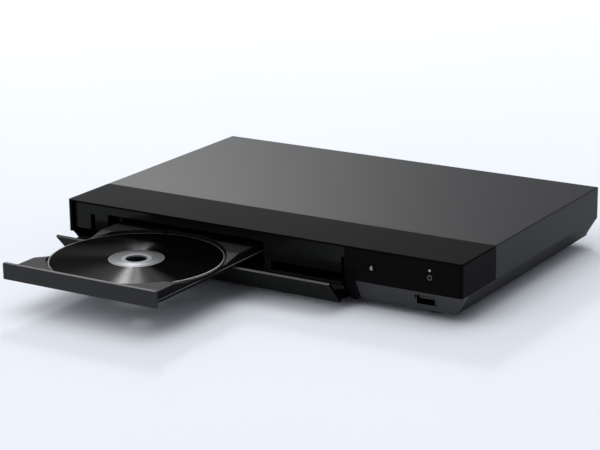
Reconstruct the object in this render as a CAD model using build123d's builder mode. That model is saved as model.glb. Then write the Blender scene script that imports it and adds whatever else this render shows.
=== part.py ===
from build123d import *
import math
import os

os.makedirs("parts", exist_ok=True)

# Blu-ray player with its disc tray out and its front flap down. Millimetres.
# X is across, with +X to the right of someone who faces the front, Y runs from the front to the
# back and Z is up from the table. X is 0 in the middle of the cabinet, and Y is 0 midway between
# the front of the open tray and the back. Heights are above the table.

# Disc
disc_radius = 60.0
disc_hole = 7.5
disc_thick = 1.2
disc_rim_round = 0.3
stack_ring_radius = 17.0
stack_ring_wide = 0.6
stack_ring_high = 0.2

# What sets the depth: the shut tray with the loader's back wall, and the power board behind it
tray_reach = 119.0
tray_travel = 127.0
tray_length = 156.0
loader_back = tray_travel - tray_reach + tray_length + 7.0
power_front = loader_back + 5.0
power_back = power_front + 31.0

# Cabinet
cabinet_width = 320.0
cabinet_depth = power_back + 8.0
cabinet_height = 45.0
half_width = cabinet_width / 2
rear_socket_reach = 2.0
flank_top = 21.4
flank_bottom = 6.8
flank_side_inset = 8.6
flank_front_inset = 8.3
corner_bevel = 1.3
flank_corner_bevel_top = 3.8
flank_corner_bevel_bottom = 1.7
sheet = 1.0
case_wall = 1.6
fascia_wall = 2.4
band_depth = 48.4
seam = 0.3
run = 0.3
seat = 0.2

# Front of the cabinet
opening_left = 3.5 - half_width
opening_right = 71.6
band_lip = 0.8
recess_depth = 3.0
recess_wall = 2.0
recess_bottom = 24.0
tray_slot_top = 37.0
strip_left = 80.0
slot_rib = 2.4
slot_rib_back = 12.0

# Tray
tray_x = -60.3
disc_overhang = 2.1
tray_body_width = 2 * (disc_radius - disc_overhang)
tray_front_left = tray_x - 62.2
tray_front_right = tray_x + 62.2
tray_slot_left = tray_front_left - 4.2
tray_slot_right = tray_front_right + 3.9
tray_front_top = 35.0
tray_front_bottom = 23.7
tray_front_thick = 3.0
tray_rim_top = 32.0
tray_floor_top = 28.6
tray_floor_thick = 1.8
tray_skirt_bottom = 24.0
tray_skirt = 2.0
tray_rib_reach = 1.2
tray_rib_bottom = 25.2
tray_rib_top = 26.4
disc_place = 65.4
recess_radius = disc_radius + 1.2
small_recess_radius = 40.6
small_recess_deep = 0.7
grip_half = 22.0
ramp_half = 37.5
disc_window = 19.0
slot_width = 36.0
slot_back = 61.0

# Flap
pivot_y = 17.3
pivot_z = 7.8
flap_open = 43.0
flap_left = opening_left + 0.3
flap_right = opening_right - 0.3
flap_thick = 2.0
flap_flange_thick = 1.4
flap_edge = 0.5
flap_flange = 11.0
flap_flange_slope = 12.0
arm_thick = 3.0
arm_middles = (opening_left + 16.5, opening_right - 2.2)
arm_slot = 4.0
arm_slot_top = 35.5
arm_reach = 36.0
pin_radius = 1.5
pin_run = 0.06
hinge_cheek = 4.0
hinge_radius = 3.0
moulding_radius = 16.4

# Marks and sockets on the front
power_x = half_width - 24.0
power_z = 32.4
eject_x = 92.3
eject_z = 32.3
button_radius = 3.0
button_flange = 0.8
button_deep = 9.0
button_stem = 1.6
button_neck = 1.6
button_rim = 1.4
switch_half = 3.0
lamp_x = power_x - 0.1
lamp_z = 37.2
lamp_radius = 0.9
usb_x = half_width - 28.8
usb_z = 15.0
usb_wide = 13.6
usb_high = 6.2
usb_deep = 14.0
usb_wall = 0.5

# Feet and floor
foot_radius = 11.0
foot_chamfer = 1.0
foot_x = half_width - 32.0
foot_front = 34.0
foot_back = cabinet_depth - 27.0
floor_top = flank_bottom + case_wall

# Loader
loader_wall = 2.4
loader_inner = tray_body_width / 2 + 4.1
loader_front = 14.6
loader_top = 36.4
deck_top = 16.0
deck_thick = 2.0
deck_hole_front = 50.0
deck_hole_half = 50.0
ledge_top = tray_skirt_bottom - seat
ledge_thick = 1.6
ledge_reach = 6.0

# Loading gears, one millimetre module
tooth_pitch = math.pi
rack_teeth = 46
drive_teeth = 20
wheel_teeth = 32
pinion_teeth = 10
tooth_thick = 1.15
tooth_out = 0.75
tooth_in = 1.1
tooth_slope = math.tan(math.radians(20))
gear_y = 32.0
rack_base = 2.6
rack_bottom = 24.2
rack_top = 26.5
pulley_radius = 11.0
motor_pulley_radius = 3.5
belt_span = 30.0
belt_thick = 1.2
motor_radius = 10.0

# Traverse, which tilts about its back edge
hinge_y = loader_back - 18.0
hinge_z = 17.0
lift_angle = 4.5
traverse_front = hinge_y - deck_hole_front - 10.0
traverse_half = 34.0
traverse_thick = 2.5
spindle_back = hinge_y - (disc_place + tray_travel - tray_reach)
seat_height = tray_floor_top + seat - run - hinge_z
table_radius = 14.5
rod_x = 21.0
rod_radius = 1.5
rod_height = 4.6
sled_front = spindle_back - 13.0
sled_long = 18.0
lift_slide = 12.0
peg_height = 4.0
peg_radius = 1.25

front_y = (tray_reach - cabinet_depth - rear_socket_reach) / 2
disc_y = disc_place - tray_reach
playing_y = disc_y + tray_travel
desk = Plane(origin=(0, front_y, 0))
hinge_line = Plane(origin=(tray_x, front_y + hinge_y, hinge_z))
traverse = hinge_line.rotated((lift_angle, 0, 0))


def level(z):
    """A level plane at a height, with y counted back from the cabinet's front."""
    return desk.offset(z)


def upright(y):
    """A plane that faces the front, at a depth behind the cabinet's front."""
    return Plane(origin=(0, front_y + y, 0), x_dir=(1, 0, 0), z_dir=(0, -1, 0))


def profile(x):
    """A side view at a place across the cabinet: first how far back, then how high."""
    return Plane(origin=(x, front_y, 0), x_dir=(0, 1, 0), z_dir=(1, 0, 0))


def flap_profile(x):
    """The side view of the closed flap, centred on its pivot and swung open."""
    swing = math.radians(flap_open)
    return Plane(
        origin=(x, front_y + pivot_y, pivot_z),
        x_dir=(0, math.cos(swing), math.sin(swing)),
        z_dir=(1, 0, 0),
    )


def block(x0, x1, y0, y1, z0, z1, mode=Mode.ADD):
    """A box between two corners, in the open builder's own frame."""
    with Locations(((x0 + x1) / 2, (y0 + y1) / 2, (z0 + z1) / 2)):
        Box(x1 - x0, y1 - y0, z1 - z0, mode=mode)


def post(x, y, z0, z1, radius, mode=Mode.ADD):
    """An upright round post between two heights."""
    with Locations((x, y, (z0 + z1) / 2)):
        Cylinder(radius, z1 - z0, mode=mode)


def bevelled(width, front, back, bevel):
    """Corners of a rectangle whose two front corners are cut off."""
    half = width / 2
    return [
        (-half + bevel, front),
        (half - bevel, front),
        (half, front + bevel),
        (half, back),
        (-half, back),
        (-half, front + bevel),
    ]


def flank(shrink):
    """The two outlines of the cabinet's tapered lower part, drawn in by a wall."""
    lower_width = cabinet_width - 2 * flank_side_inset
    upper = bevelled(
        cabinet_width - 2 * shrink, shrink, cabinet_depth - shrink, flank_corner_bevel_top
    )
    lower = bevelled(
        lower_width - 2 * shrink,
        flank_front_inset + shrink,
        cabinet_depth - shrink,
        flank_corner_bevel_bottom,
    )
    return upper, lower


# Boards: the main one right of the loader, the power one behind it
board_bottom = 12.0
board_thick = 1.6
board_top = board_bottom + board_thick
main_left = 16.0
main_right = half_width - 12.0
main_back = cabinet_depth - 9.0
main_front = main_back - 134.0
power_left = 12.0 - half_width
power_right = 2.0
usb_left = half_width - 46.0
usb_right = half_width - 12.0
usb_front = 11.6
usb_back = 34.0
usb_board_bottom = usb_z - usb_high / 2 - usb_wall - board_thick

# Rear sockets' places
inlet_x = 32.0 - half_width
inlet_z = 24.0
inlet_wide = 20.0
inlet_high = 12.0
inlet_deep = 18.0
inlet_mouth_wide = 15.2
inlet_mouth_high = 8.0
inlet_mouth_deep = 12.0
inlet_pin = 1.2
pin_apart = 8.6
hdmi_wide = 15.2
hdmi_high = 6.2
hdmi_deep = 12.0
hdmi_wall = 0.5
hdmi_z = board_top + hdmi_high / 2
hdmi_places = (main_left + 36.0, main_left + 62.0)
coax_x = main_right - 14.0
coax_z = 21.4
coax_radius = 5.2
coax_half = 6.0
coax_wall = 0.9
coax_core = 3.4
coax_hole = 1.7
coax_deep = 9.0
lan_x = (hdmi_places[1] + coax_x) / 2 + 2.0
lan_wide = 15.6
lan_high = 14.6
lan_deep = 17.0
lan_z = board_top + lan_high / 2
window_gap = 0.3
rear_front = cabinet_depth - case_wall

# Parts on the boards
processor_x = main_left + 56.0
processor_y = main_front + 54.0
processor_half = 14.0
processor_high = 2.2
memory_x = main_left + 84.0
memory_ys = (processor_y - 22.0, processor_y - 4.0, processor_y + 14.0)
memory_high = 1.4
plug_high = 4.0
plug_start = main_front + 14.0
board_capacitor_xs = (main_left + 14.0, main_left + 24.0, main_right - 30.0, main_right - 20.0)
board_capacitor_y = main_front + 88.0
sink_half = 20.0
sink_base = 2.0
sink_fins = 9
sink_fin_high = 12.0
sink_fin_thick = 1.2
transformer_x = power_right - 66.0
transformer_y = power_front + 15.0
transformer_half = 14.0
transformer_half_deep = 11.0
winding_half = 10.0
winding_half_deep = 9.0
mains_capacitor_x = power_right - 96.0
output_capacitor_xs = (power_right - 42.0, power_right - 30.0, power_right - 18.0)

# Screws and their bosses
boss_radius = 3.2
board_inset = 4.0
screw_hole = 1.3
screw_head = 2.7
screw_head_high = 1.6
screw_bite = 3.0
screw_pass = screw_hole + 0.3
shank = screw_hole - 0.05

# Top cover: folded steel sheet behind the gloss band
with BuildPart() as top_cover:
    with BuildSketch(upright(band_depth)):
        with Locations((0, (cabinet_height + flank_top) / 2)):
            Rectangle(cabinet_width, cabinet_height - flank_top)
        with Locations((0, (cabinet_height - sheet + flank_top) / 2)):
            Rectangle(
                cabinet_width - 2 * sheet, cabinet_height - sheet - flank_top, mode=Mode.SUBTRACT
            )
    extrude(amount=band_depth - cabinet_depth)
    fillet(top_cover.edges().filter_by(Axis.Y).group_by(Axis.Z)[-1], 0.8 * sheet)
top_cover.part.label = "top_cover"
export_step(top_cover.part, "parts/top_cover.step")

# Front housing: gloss band over the top, both cheeks and the fixed panel right of the tray
roof = cabinet_height - fascia_wall
switch_front = button_deep + 0.9
front_board_y = switch_front + 1.5
board_stud_radius = 2.2
board_stud_places = ((eject_x + 14, 27.0), (power_x - 22, 27.0))
with BuildPart(desk) as front_housing:
    with BuildSketch(level(flank_top)):
        with BuildLine():
            Polyline(bevelled(cabinet_width, 0, band_depth - seam, corner_bevel), close=True)
        make_face()
    extrude(amount=cabinet_height - flank_top)
    fillet(front_housing.edges().filter_by(Axis.Y).group_by(Axis.Z)[-1], 0.6)
    lip_bottom = cabinet_height - band_lip
    below = flank_top - 1
    block(
        opening_left, half_width - fascia_wall, fascia_wall, band_depth, below, roof, Mode.SUBTRACT
    )
    block(opening_left, opening_right, -1, fascia_wall + 1, below, roof, Mode.SUBTRACT)
    block(opening_left, opening_right, -1, recess_depth, roof - 1, lip_bottom, Mode.SUBTRACT)
    for mark_x, mark_z, hole_radius in (
        (power_x, power_z, button_radius + run),
        (eject_x, eject_z, button_radius + run),
        (lamp_x, lamp_z, lamp_radius),
    ):
        with BuildSketch(upright(-1)):
            with Locations((mark_x, mark_z)):
                Circle(hole_radius)
        extrude(amount=-2 - fascia_wall, mode=Mode.SUBTRACT)
    for stud_x, stud_z in board_stud_places:
        with BuildSketch(upright(fascia_wall - 0.2)):
            with Locations((stud_x, stud_z)):
                Circle(board_stud_radius)
        extrude(amount=fascia_wall - 0.2 - front_board_y)
front_housing.part.label = "front_housing"
export_step(front_housing.part, "parts/front_housing.step")

# Recess wall: matte wall behind the flap, with the tray's slot and the two arms' slots
recess_back = recess_depth + recess_wall
below = recess_bottom - 1
with BuildPart(desk) as recess_panel:
    block(opening_left, opening_right, recess_depth, recess_back, recess_bottom, roof)
    block(
        tray_slot_left, tray_slot_right, 0, recess_back + 1, below, tray_slot_top, Mode.SUBTRACT
    )
    for arm_x in arm_middles:
        slot_left = arm_x - arm_slot / 2
        slot_right = arm_x + arm_slot / 2
        block(slot_left, slot_right, 0, recess_back + 1, below, arm_slot_top, Mode.SUBTRACT)
    for rib_left in (opening_left, tray_slot_left - slot_rib, tray_slot_right):
        block(rib_left, rib_left + slot_rib, recess_back, slot_rib_back, recess_bottom, roof)
recess_panel.part.label = "recess_panel"
export_step(recess_panel.part, "parts/recess_panel.step")

# Lower case: tray-shaped moulding with sloping flanks, the floor and its standing bosses
def corners(left, right, front, back):
    """The four screw places of a board."""
    places = []
    for x in (left + board_inset, right - board_inset):
        for y in (front + board_inset, back - board_inset):
            places.append((x, y))
    return places


main_holes = corners(main_left, main_right, main_front, main_back)
power_holes = corners(power_left, power_right, power_front, power_back)
loader_feet = []
for foot_at_x in (tray_x - loader_inner + 6, tray_x + loader_inner - 6):
    for foot_at_y in (loader_front + 8, loader_back - 6):
        loader_feet.append((foot_at_x, foot_at_y))
strip_back = flank_front_inset + 1.4
screw_places = [(x, y, board_bottom) for x, y in main_holes + power_holes]
screw_places += [(x, y, deck_top - deck_thick) for x, y in loader_feet]
rear_screw_places = (-70.0, 30.0, half_width - 14.0)
rear_screw_z = 14.0
rear_block = 6.0
arm_bay_half = 8.0
vent_pitch = 18.0
vent_row_pitch = 14.0
vent_long = 12.0
vent_wide = 2.5
vent_rows = 5
vent_left = main_left + 22
vent_front = main_front + 34
vent_columns = int((main_right - 20 - vent_left) / vent_pitch) + 1
with BuildPart() as flank_shell:
    # drawn with its front at y = 0, and set on the cabinet's front line where it is added
    outer_top, outer_bottom = flank(0)
    inner_top, inner_bottom = flank(case_wall)
    for outline, height in ((outer_top, flank_top), (outer_bottom, flank_bottom)):
        with BuildSketch(Plane.XY.offset(height)):
            with BuildLine():
                Polyline(outline, close=True)
            make_face()
    loft(ruled=True)
    for outline, height in ((inner_top, flank_top), (inner_bottom, floor_top)):
        with BuildSketch(Plane.XY.offset(height)):
            with BuildLine():
                Polyline(outline, close=True)
            make_face()
    loft(ruled=True, mode=Mode.SUBTRACT)

with BuildPart(desk) as lower_case:
    add(flank_shell.part)
    beyond = half_width + 1
    block(-beyond, beyond, -1, strip_back + seam, 0, cabinet_height, Mode.SUBTRACT)
    block(-beyond, beyond, rear_front, cabinet_depth + 1, floor_top, cabinet_height, Mode.SUBTRACT)
    for arm_x in arm_middles:
        bay_left = arm_x - arm_bay_half
        bay_right = arm_x + arm_bay_half
        block(bay_left, bay_right, 0, pivot_y + 6, 0, floor_top + 1, Mode.SUBTRACT)
    for x, y, top in screw_places:
        post(x, y, floor_top, top, boss_radius)
        post(x, y, top - screw_bite - 0.2, top + 1, screw_hole, Mode.SUBTRACT)
    for x in (usb_left + 3, usb_right - 3):
        post(x, usb_back - 3, floor_top, usb_board_bottom, boss_radius - 0.4)
    for x in rear_screw_places:
        block(x - 4, x + 4, rear_front - rear_block, rear_front, floor_top, rear_screw_z + 4)
        with BuildSketch(upright(rear_front + 1)):
            with Locations((x, rear_screw_z)):
                Circle(screw_hole)
        extrude(amount=rear_block, mode=Mode.SUBTRACT)
    for row in range(vent_rows):
        for column in range(vent_columns):
            x = vent_left + column * vent_pitch
            y = vent_front + row * vent_row_pitch
            block(
                x - vent_long / 2, x + vent_long / 2, y - vent_wide / 2, y + vent_wide / 2,
                flank_bottom - 1, floor_top + 1, Mode.SUBTRACT,
            )
lower_case.part.label = "lower_case"
export_step(lower_case.part, "parts/lower_case.step")

# Lower front mouldings: the grey strip with the socket's window, and the part under the flap
with BuildPart(desk) as lower_front_strip:
    add(flank_shell.part)
    block(-beyond, strip_left, -1, cabinet_depth + 1, 0, cabinet_height, Mode.SUBTRACT)
    block(-beyond, beyond, strip_back, cabinet_depth + 1, 0, cabinet_height, Mode.SUBTRACT)
    with BuildSketch(upright(-1)):
        with Locations((usb_x, usb_z)):
            Rectangle(usb_wide + 2 * usb_wall + 2 * seat, usb_high + 2 * usb_wall + 2 * seat)
    extrude(amount=-1 - strip_back, mode=Mode.SUBTRACT)
lower_front_strip.part.label = "lower_front_strip"
export_step(lower_front_strip.part, "parts/lower_front_strip.step")

hinge_back = pivot_y + hinge_radius + 0.4
bracket_half = arm_thick / 2 + run + hinge_cheek
moulding_right = opening_right + 1.6
shelf_top = flank_bottom + 8.2
shelf_rise = shelf_top - pivot_z
shelf_front = pivot_y - math.sqrt(moulding_radius**2 - shelf_rise**2) + 0.6
half_gap = arm_thick / 2 + run
bracket_front = flank_front_inset + 0.8
bracket_bottom = pivot_z - hinge_radius
bracket_top = pivot_z + hinge_radius
with BuildPart(desk) as flap_moulding:
    add(flank_shell.part)
    block(strip_left - seam, beyond, -1, cabinet_depth + 1, 0, cabinet_height, Mode.SUBTRACT)
    block(-beyond, beyond, strip_back, cabinet_depth + 1, 0, cabinet_height, Mode.SUBTRACT)
    with BuildSketch(profile(opening_left)):
        Rectangle(2 * cabinet_height, 2 * cabinet_height)
        with Locations((pivot_y, pivot_z)):
            Circle(moulding_radius, mode=Mode.SUBTRACT)
    extrude(amount=moulding_right - opening_left, mode=Mode.SUBTRACT)
    block(
        opening_left - 0.5, moulding_right + 0.5, shelf_front, strip_back,
        shelf_top - case_wall, shelf_top,
    )
    for arm_x in arm_middles:
        block(arm_x - half_gap, arm_x + half_gap, -1, hinge_back, 0, cabinet_height, Mode.SUBTRACT)
        block(
            arm_x - bracket_half, arm_x + bracket_half, hinge_back, hinge_back + 2,
            bracket_bottom, bracket_top,
        )
        for side in (-1, 1):
            near = arm_x + side * half_gap
            far = arm_x + side * bracket_half
            block(
                min(near, far), max(near, far), bracket_front, hinge_back,
                bracket_bottom, bracket_top,
            )
        with BuildSketch(profile(arm_x - bracket_half - 1)):
            with Locations((pivot_y, pivot_z)):
                Circle(pin_radius + pin_run)
        extrude(amount=2 * bracket_half + 2, mode=Mode.SUBTRACT)
flap_moulding.part.label = "flap_moulding"
export_step(flap_moulding.part, "parts/flap_moulding.step")

# Flap: hinged door with its bottom flange and two arms that carry the pivot pins
flap_top = cabinet_height - band_lip - run
slope = math.radians(flap_flange_slope)
face_y = -pivot_y
face_top = flap_top - pivot_z
face_bottom = flank_top - pivot_z
flange_end = face_y + flap_flange * math.cos(slope)
flange_end_z = face_bottom + flap_flange * math.sin(slope)
flange_root_z = face_bottom + flap_thick * math.tan(slope) + flap_flange_thick
with BuildPart() as flap:
    with BuildSketch(flap_profile(flap_left)):
        with BuildLine():
            Polyline(
                [
                    (face_y, face_top),
                    (face_y, face_bottom),
                    (flange_end, flange_end_z),
                    (flange_end, flange_end_z + flap_flange_thick),
                    (face_y + flap_thick, flange_root_z),
                    (face_y + flap_thick, face_top - flap_edge),
                    (face_y + flap_thick - flap_edge, face_top),
                ],
                close=True,
            )
        make_face()
    extrude(amount=flap_right - flap_left)
    for arm_x in arm_middles:
        with BuildSketch(flap_profile(arm_x - arm_thick / 2)):
            with BuildLine():
                Polyline(
                    [
                        (face_y + flap_thick - 0.5, arm_reach - pivot_z),
                        (face_y + flap_thick - 0.5, face_bottom + 2),
                        (-hinge_radius + 0.6, -1.2),
                        (1.2, hinge_radius - 0.6),
                    ],
                    close=True,
                )
            make_face()
            Circle(hinge_radius)
        extrude(amount=arm_thick)
        with BuildSketch(flap_profile(arm_x - arm_thick / 2 - run - hinge_cheek)):
            Circle(pin_radius)
        extrude(amount=arm_thick + 2 * run + 2 * hinge_cheek)
flap.part.label = "flap"
export_step(flap.part, "parts/flap.step")

# Rear panel: steel sheet with its windows for the sockets and a vent grid
panel_gap = 0.1
vent_slot_long = 6.5
vent_slot_wide = 2.4
vent_slot_pitch = 9.0
vent_slot_row_pitch = 7.0
vent_slot_columns = 10
vent_slot_rows = 3
with BuildPart() as rear_panel:
    with BuildSketch(upright(rear_front)):
        with Locations((0, (cabinet_height - sheet + floor_top) / 2)):
            Rectangle(
                cabinet_width - 2 * flank_side_inset - 2 * case_wall,
                cabinet_height - sheet - floor_top,
            )
        with Locations((0, (cabinet_height - sheet + flank_top) / 2)):
            Rectangle(
                cabinet_width - 2 * sheet - 2 * panel_gap,
                cabinet_height - sheet - flank_top - 2 * panel_gap,
            )
        with Locations((inlet_x, inlet_z)):
            Rectangle(inlet_wide + 2 * window_gap, inlet_high + 2 * window_gap, mode=Mode.SUBTRACT)
        with Locations([(x, hdmi_z) for x in hdmi_places]):
            Rectangle(hdmi_wide + 2 * window_gap, hdmi_high + 2 * window_gap, mode=Mode.SUBTRACT)
        with Locations((lan_x, lan_z)):
            Rectangle(lan_wide + 2 * window_gap, lan_high + 2 * window_gap, mode=Mode.SUBTRACT)
        with Locations((coax_x, coax_z)):
            Circle(coax_radius + window_gap, mode=Mode.SUBTRACT)
        with Locations([(x, rear_screw_z) for x in rear_screw_places]):
            Circle(screw_pass, mode=Mode.SUBTRACT)
        with Locations((transformer_x + 14, cabinet_height - 15)):
            with GridLocations(
                vent_slot_pitch, vent_slot_row_pitch, vent_slot_columns, vent_slot_rows
            ):
                SlotOverall(vent_slot_long, vent_slot_wide, mode=Mode.SUBTRACT)
    extrude(amount=-sheet)
rear_panel.part.label = "rear_panel"
export_step(rear_panel.part, "parts/rear_panel.step")

# Feet: four rubber discs under the floor
foot_places = {
    "foot_front_left": (-foot_x, foot_front),
    "foot_front_right": (foot_x, foot_front),
    "foot_rear_left": (-foot_x, foot_back),
    "foot_rear_right": (foot_x, foot_back),
}
for foot_name, (foot_at_x, foot_at_y) in foot_places.items():
    with BuildPart() as foot:
        with BuildSketch(level(0)):
            with Locations((foot_at_x, foot_at_y)):
                Circle(foot_radius)
        extrude(amount=flank_bottom)
        chamfer(foot.edges().group_by(Axis.Z)[0], foot_chamfer)
    foot.part.label = foot_name
    export_step(foot.part, f"parts/{foot_name}.step")

# Push buttons, flush with the fixed panel, each on a short stem towards its switch
for button_name, button_x, button_z in (
    ("power_button", power_x, power_z),
    ("eject_button", eject_x, eject_z),
):
    with BuildPart() as button:
        with BuildSketch(upright(0)):
            with Locations((button_x, button_z)):
                Circle(button_radius)
        extrude(amount=-fascia_wall - button_neck)
        with BuildSketch(upright(fascia_wall + run)):
            with Locations((button_x, button_z)):
                Circle(button_radius + button_flange)
        extrude(amount=-button_rim)
        with BuildSketch(upright(fascia_wall)):
            with Locations((button_x, button_z)):
                Circle(button_stem)
        extrude(amount=fascia_wall - button_deep)
    button.part.label = button_name
    export_step(button.part, f"parts/{button_name}.step")

# Lamp lens beside the power button
with BuildPart() as lamp_lens:
    with BuildSketch(upright(0)):
        with Locations((lamp_x, lamp_z)):
            Circle(lamp_radius - 0.05)
    extrude(amount=-front_board_y)
lamp_lens.part.label = "lamp_lens"
export_step(lamp_lens.part, "parts/lamp_lens.step")

# Front board: upright board behind the fixed panel, with the two switches
with BuildPart(desk) as front_board:
    block(
        eject_x - 9, power_x + 15, front_board_y, front_board_y + board_thick,
        flank_top + 1, roof,
    )
    for x, z in ((power_x, power_z), (eject_x, eject_z)):
        block(
            x - switch_half, x + switch_half, switch_front, front_board_y,
            z - switch_half, z + switch_half,
        )
    board_back = front_board_y + board_thick
    block(eject_x + 10, eject_x + 24, board_back, board_back + plug_high, 24, 30)
front_board.part.label = "front_board"
export_step(front_board.part, "parts/front_board.step")

# Front socket with its tongue, on its small board
usb_mouth = flank_front_inset * (flank_top - usb_z) / (flank_top - flank_bottom) + 0.4
usb_end = usb_mouth + usb_deep
usb_half_wide = usb_wide / 2
usb_half_high = usb_high / 2
usb_tongue_half = 5.6
usb_tongue_low = usb_z + 0.5
usb_tongue_high = usb_z + 2.3
with BuildPart(desk) as usb_socket:
    block(
        usb_x - usb_half_wide - usb_wall, usb_x + usb_half_wide + usb_wall, usb_mouth, usb_end,
        usb_z - usb_half_high - usb_wall, usb_z + usb_half_high + usb_wall,
    )
    block(
        usb_x - usb_half_wide, usb_x + usb_half_wide, usb_mouth - 1, usb_end - 1.5,
        usb_z - usb_half_high, usb_z + usb_half_high, Mode.SUBTRACT,
    )
    block(
        usb_x - usb_tongue_half, usb_x + usb_tongue_half, usb_mouth + 1.2, usb_end - 1,
        usb_tongue_low, usb_tongue_high,
    )
usb_socket.part.label = "usb_socket"
export_step(usb_socket.part, "parts/usb_socket.step")

usb_board_top = usb_board_bottom + board_thick
with BuildPart(desk) as usb_board:
    block(usb_left, usb_right, usb_front, usb_back, usb_board_bottom, usb_board_top)
    block(
        usb_left + 3, usb_left + 13, usb_back - 12, usb_back - 7,
        usb_board_top, usb_board_top + plug_high,
    )
    for x in (usb_left + 3, usb_right - 3):
        post(x, usb_back - 3, usb_board_bottom - 1, usb_board_top + 1, screw_pass, Mode.SUBTRACT)
usb_board.part.label = "usb_board"
export_step(usb_board.part, "parts/usb_board.step")

# Rear sockets
hdmi_number = 0
for hdmi_x in hdmi_places:
    hdmi_number += 1
    with BuildPart(desk) as hdmi_socket:
        block(
            hdmi_x - hdmi_wide / 2, hdmi_x + hdmi_wide / 2, cabinet_depth - hdmi_deep, cabinet_depth,
            board_top, hdmi_z + hdmi_high / 2,
        )
        block(
            hdmi_x - hdmi_wide / 2 + hdmi_wall, hdmi_x + hdmi_wide / 2 - hdmi_wall,
            cabinet_depth - hdmi_deep + 1.5, cabinet_depth + 1,
            hdmi_z - hdmi_high / 2 + hdmi_wall, hdmi_z + hdmi_high / 2 - hdmi_wall, Mode.SUBTRACT,
        )
        block(
            hdmi_x - 6, hdmi_x + 6, cabinet_depth - hdmi_deep + 1, cabinet_depth - 1.5,
            hdmi_z - 0.1, hdmi_z + 0.9,
        )
    hdmi_socket.part.label = f"hdmi_socket_{hdmi_number}"
    export_step(hdmi_socket.part, f"parts/hdmi_socket_{hdmi_number}.step")

with BuildPart(desk) as lan_socket:
    block(
        lan_x - lan_wide / 2, lan_x + lan_wide / 2, cabinet_depth - lan_deep, cabinet_depth,
        board_top, lan_z + lan_high / 2,
    )
    for half_mouth, mouth_bottom, mouth_top in ((6.0, -5.2, 2.6), (3.0, 2.5, 5.4)):
        block(
            lan_x - half_mouth, lan_x + half_mouth, cabinet_depth - lan_deep + 3, cabinet_depth + 1,
            lan_z + mouth_bottom, lan_z + mouth_top, Mode.SUBTRACT,
        )
lan_socket.part.label = "lan_socket"
export_step(lan_socket.part, "parts/lan_socket.step")

with BuildPart(desk) as coax_jack:
    block(
        coax_x - coax_half, coax_x + coax_half, cabinet_depth - 16, rear_front - seat,
        board_top, coax_z + coax_half + 0.6,
    )
    with BuildSketch(upright(rear_front - seat)):
        with Locations((coax_x, coax_z)):
            Circle(coax_radius)
    extrude(amount=rear_front - seat - cabinet_depth - rear_socket_reach)
    with BuildSketch(upright(cabinet_depth + rear_socket_reach)):
        with Locations((coax_x, coax_z)):
            Circle(coax_radius - coax_wall)
            Circle(coax_core, mode=Mode.SUBTRACT)
            Circle(coax_hole)
    extrude(amount=coax_deep, mode=Mode.SUBTRACT)
coax_jack.part.label = "coax_jack"
export_step(coax_jack.part, "parts/coax_jack.step")

# Mains inlet: two-pin inlet of the usual figure-eight shape, on the power board
with BuildPart(desk) as mains_inlet:
    block(
        inlet_x - inlet_wide / 2, inlet_x + inlet_wide / 2, cabinet_depth - inlet_deep,
        cabinet_depth + rear_socket_reach, inlet_z - inlet_high / 2, inlet_z + inlet_high / 2,
    )
    block(
        inlet_x - inlet_wide / 2, inlet_x + inlet_wide / 2, cabinet_depth - inlet_deep,
        rear_front - 2 * run, board_top, inlet_z,
    )
    with BuildSketch(upright(cabinet_depth + rear_socket_reach)):
        with Locations((inlet_x, inlet_z)):
            SlotOverall(inlet_mouth_wide, inlet_mouth_high)
    extrude(amount=inlet_mouth_deep, mode=Mode.SUBTRACT)
    with BuildSketch(upright(cabinet_depth + rear_socket_reach - inlet_mouth_deep - 0.5)):
        with Locations((inlet_x - pin_apart / 2, inlet_z), (inlet_x + pin_apart / 2, inlet_z)):
            Circle(inlet_pin)
    extrude(amount=2.5 - inlet_mouth_deep)
mains_inlet.part.label = "mains_inlet"
export_step(mains_inlet.part, "parts/mains_inlet.step")

# Main board with its chips and plugs, and the power board with its parts
with BuildPart(desk) as main_board:
    block(main_left, main_right, main_front, main_back, board_bottom, board_top)
    for x, y in main_holes:
        post(x, y, board_bottom - 1, board_top + 1, screw_pass, Mode.SUBTRACT)
    block(
        processor_x - processor_half, processor_x + processor_half,
        processor_y - processor_half, processor_y + processor_half,
        board_top, board_top + processor_high,
    )
    for y in memory_ys:
        block(memory_x - 5, memory_x + 5, y - 6, y + 6, board_top, board_top + memory_high)
    block(
        main_left + 6, main_left + 11, plug_start, plug_start + 24,
        board_top, board_top + plug_high,
    )
    for x in board_capacitor_xs:
        post(x, board_capacitor_y, board_top, board_top + 8, 3)
main_board.part.label = "main_board"
export_step(main_board.part, "parts/main_board.step")

sink_bottom = board_top + processor_high
sink_plate = sink_bottom + sink_base
sink_left = processor_x - sink_half
sink_right = processor_x + sink_half
sink_front = processor_y - sink_half
sink_back = processor_y + sink_half
fin_pitch = (2 * sink_half - 2) / (sink_fins - 1)
with BuildPart(desk) as heat_sink:
    block(sink_left, sink_right, sink_front, sink_back, sink_bottom, sink_plate)
    for fin in range(sink_fins):
        fin_left = sink_left + 1 + fin * fin_pitch - sink_fin_thick / 2
        block(
            fin_left, fin_left + sink_fin_thick, sink_front, sink_back,
            sink_plate, sink_plate + sink_fin_high,
        )
heat_sink.part.label = "heat_sink"
export_step(heat_sink.part, "parts/heat_sink.step")

with BuildPart(desk) as power_board:
    block(power_left, power_right, power_front, power_back, board_bottom, board_top)
    for x, y in power_holes:
        post(x, y, board_bottom - 1, board_top + 1, screw_pass, Mode.SUBTRACT)
    block(
        power_right - 24, power_right - 10, power_front + 8, power_front + 13,
        board_top, board_top + 1.5 * plug_high,
    )
power_board.part.label = "power_board"
export_step(power_board.part, "parts/power_board.step")

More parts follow.
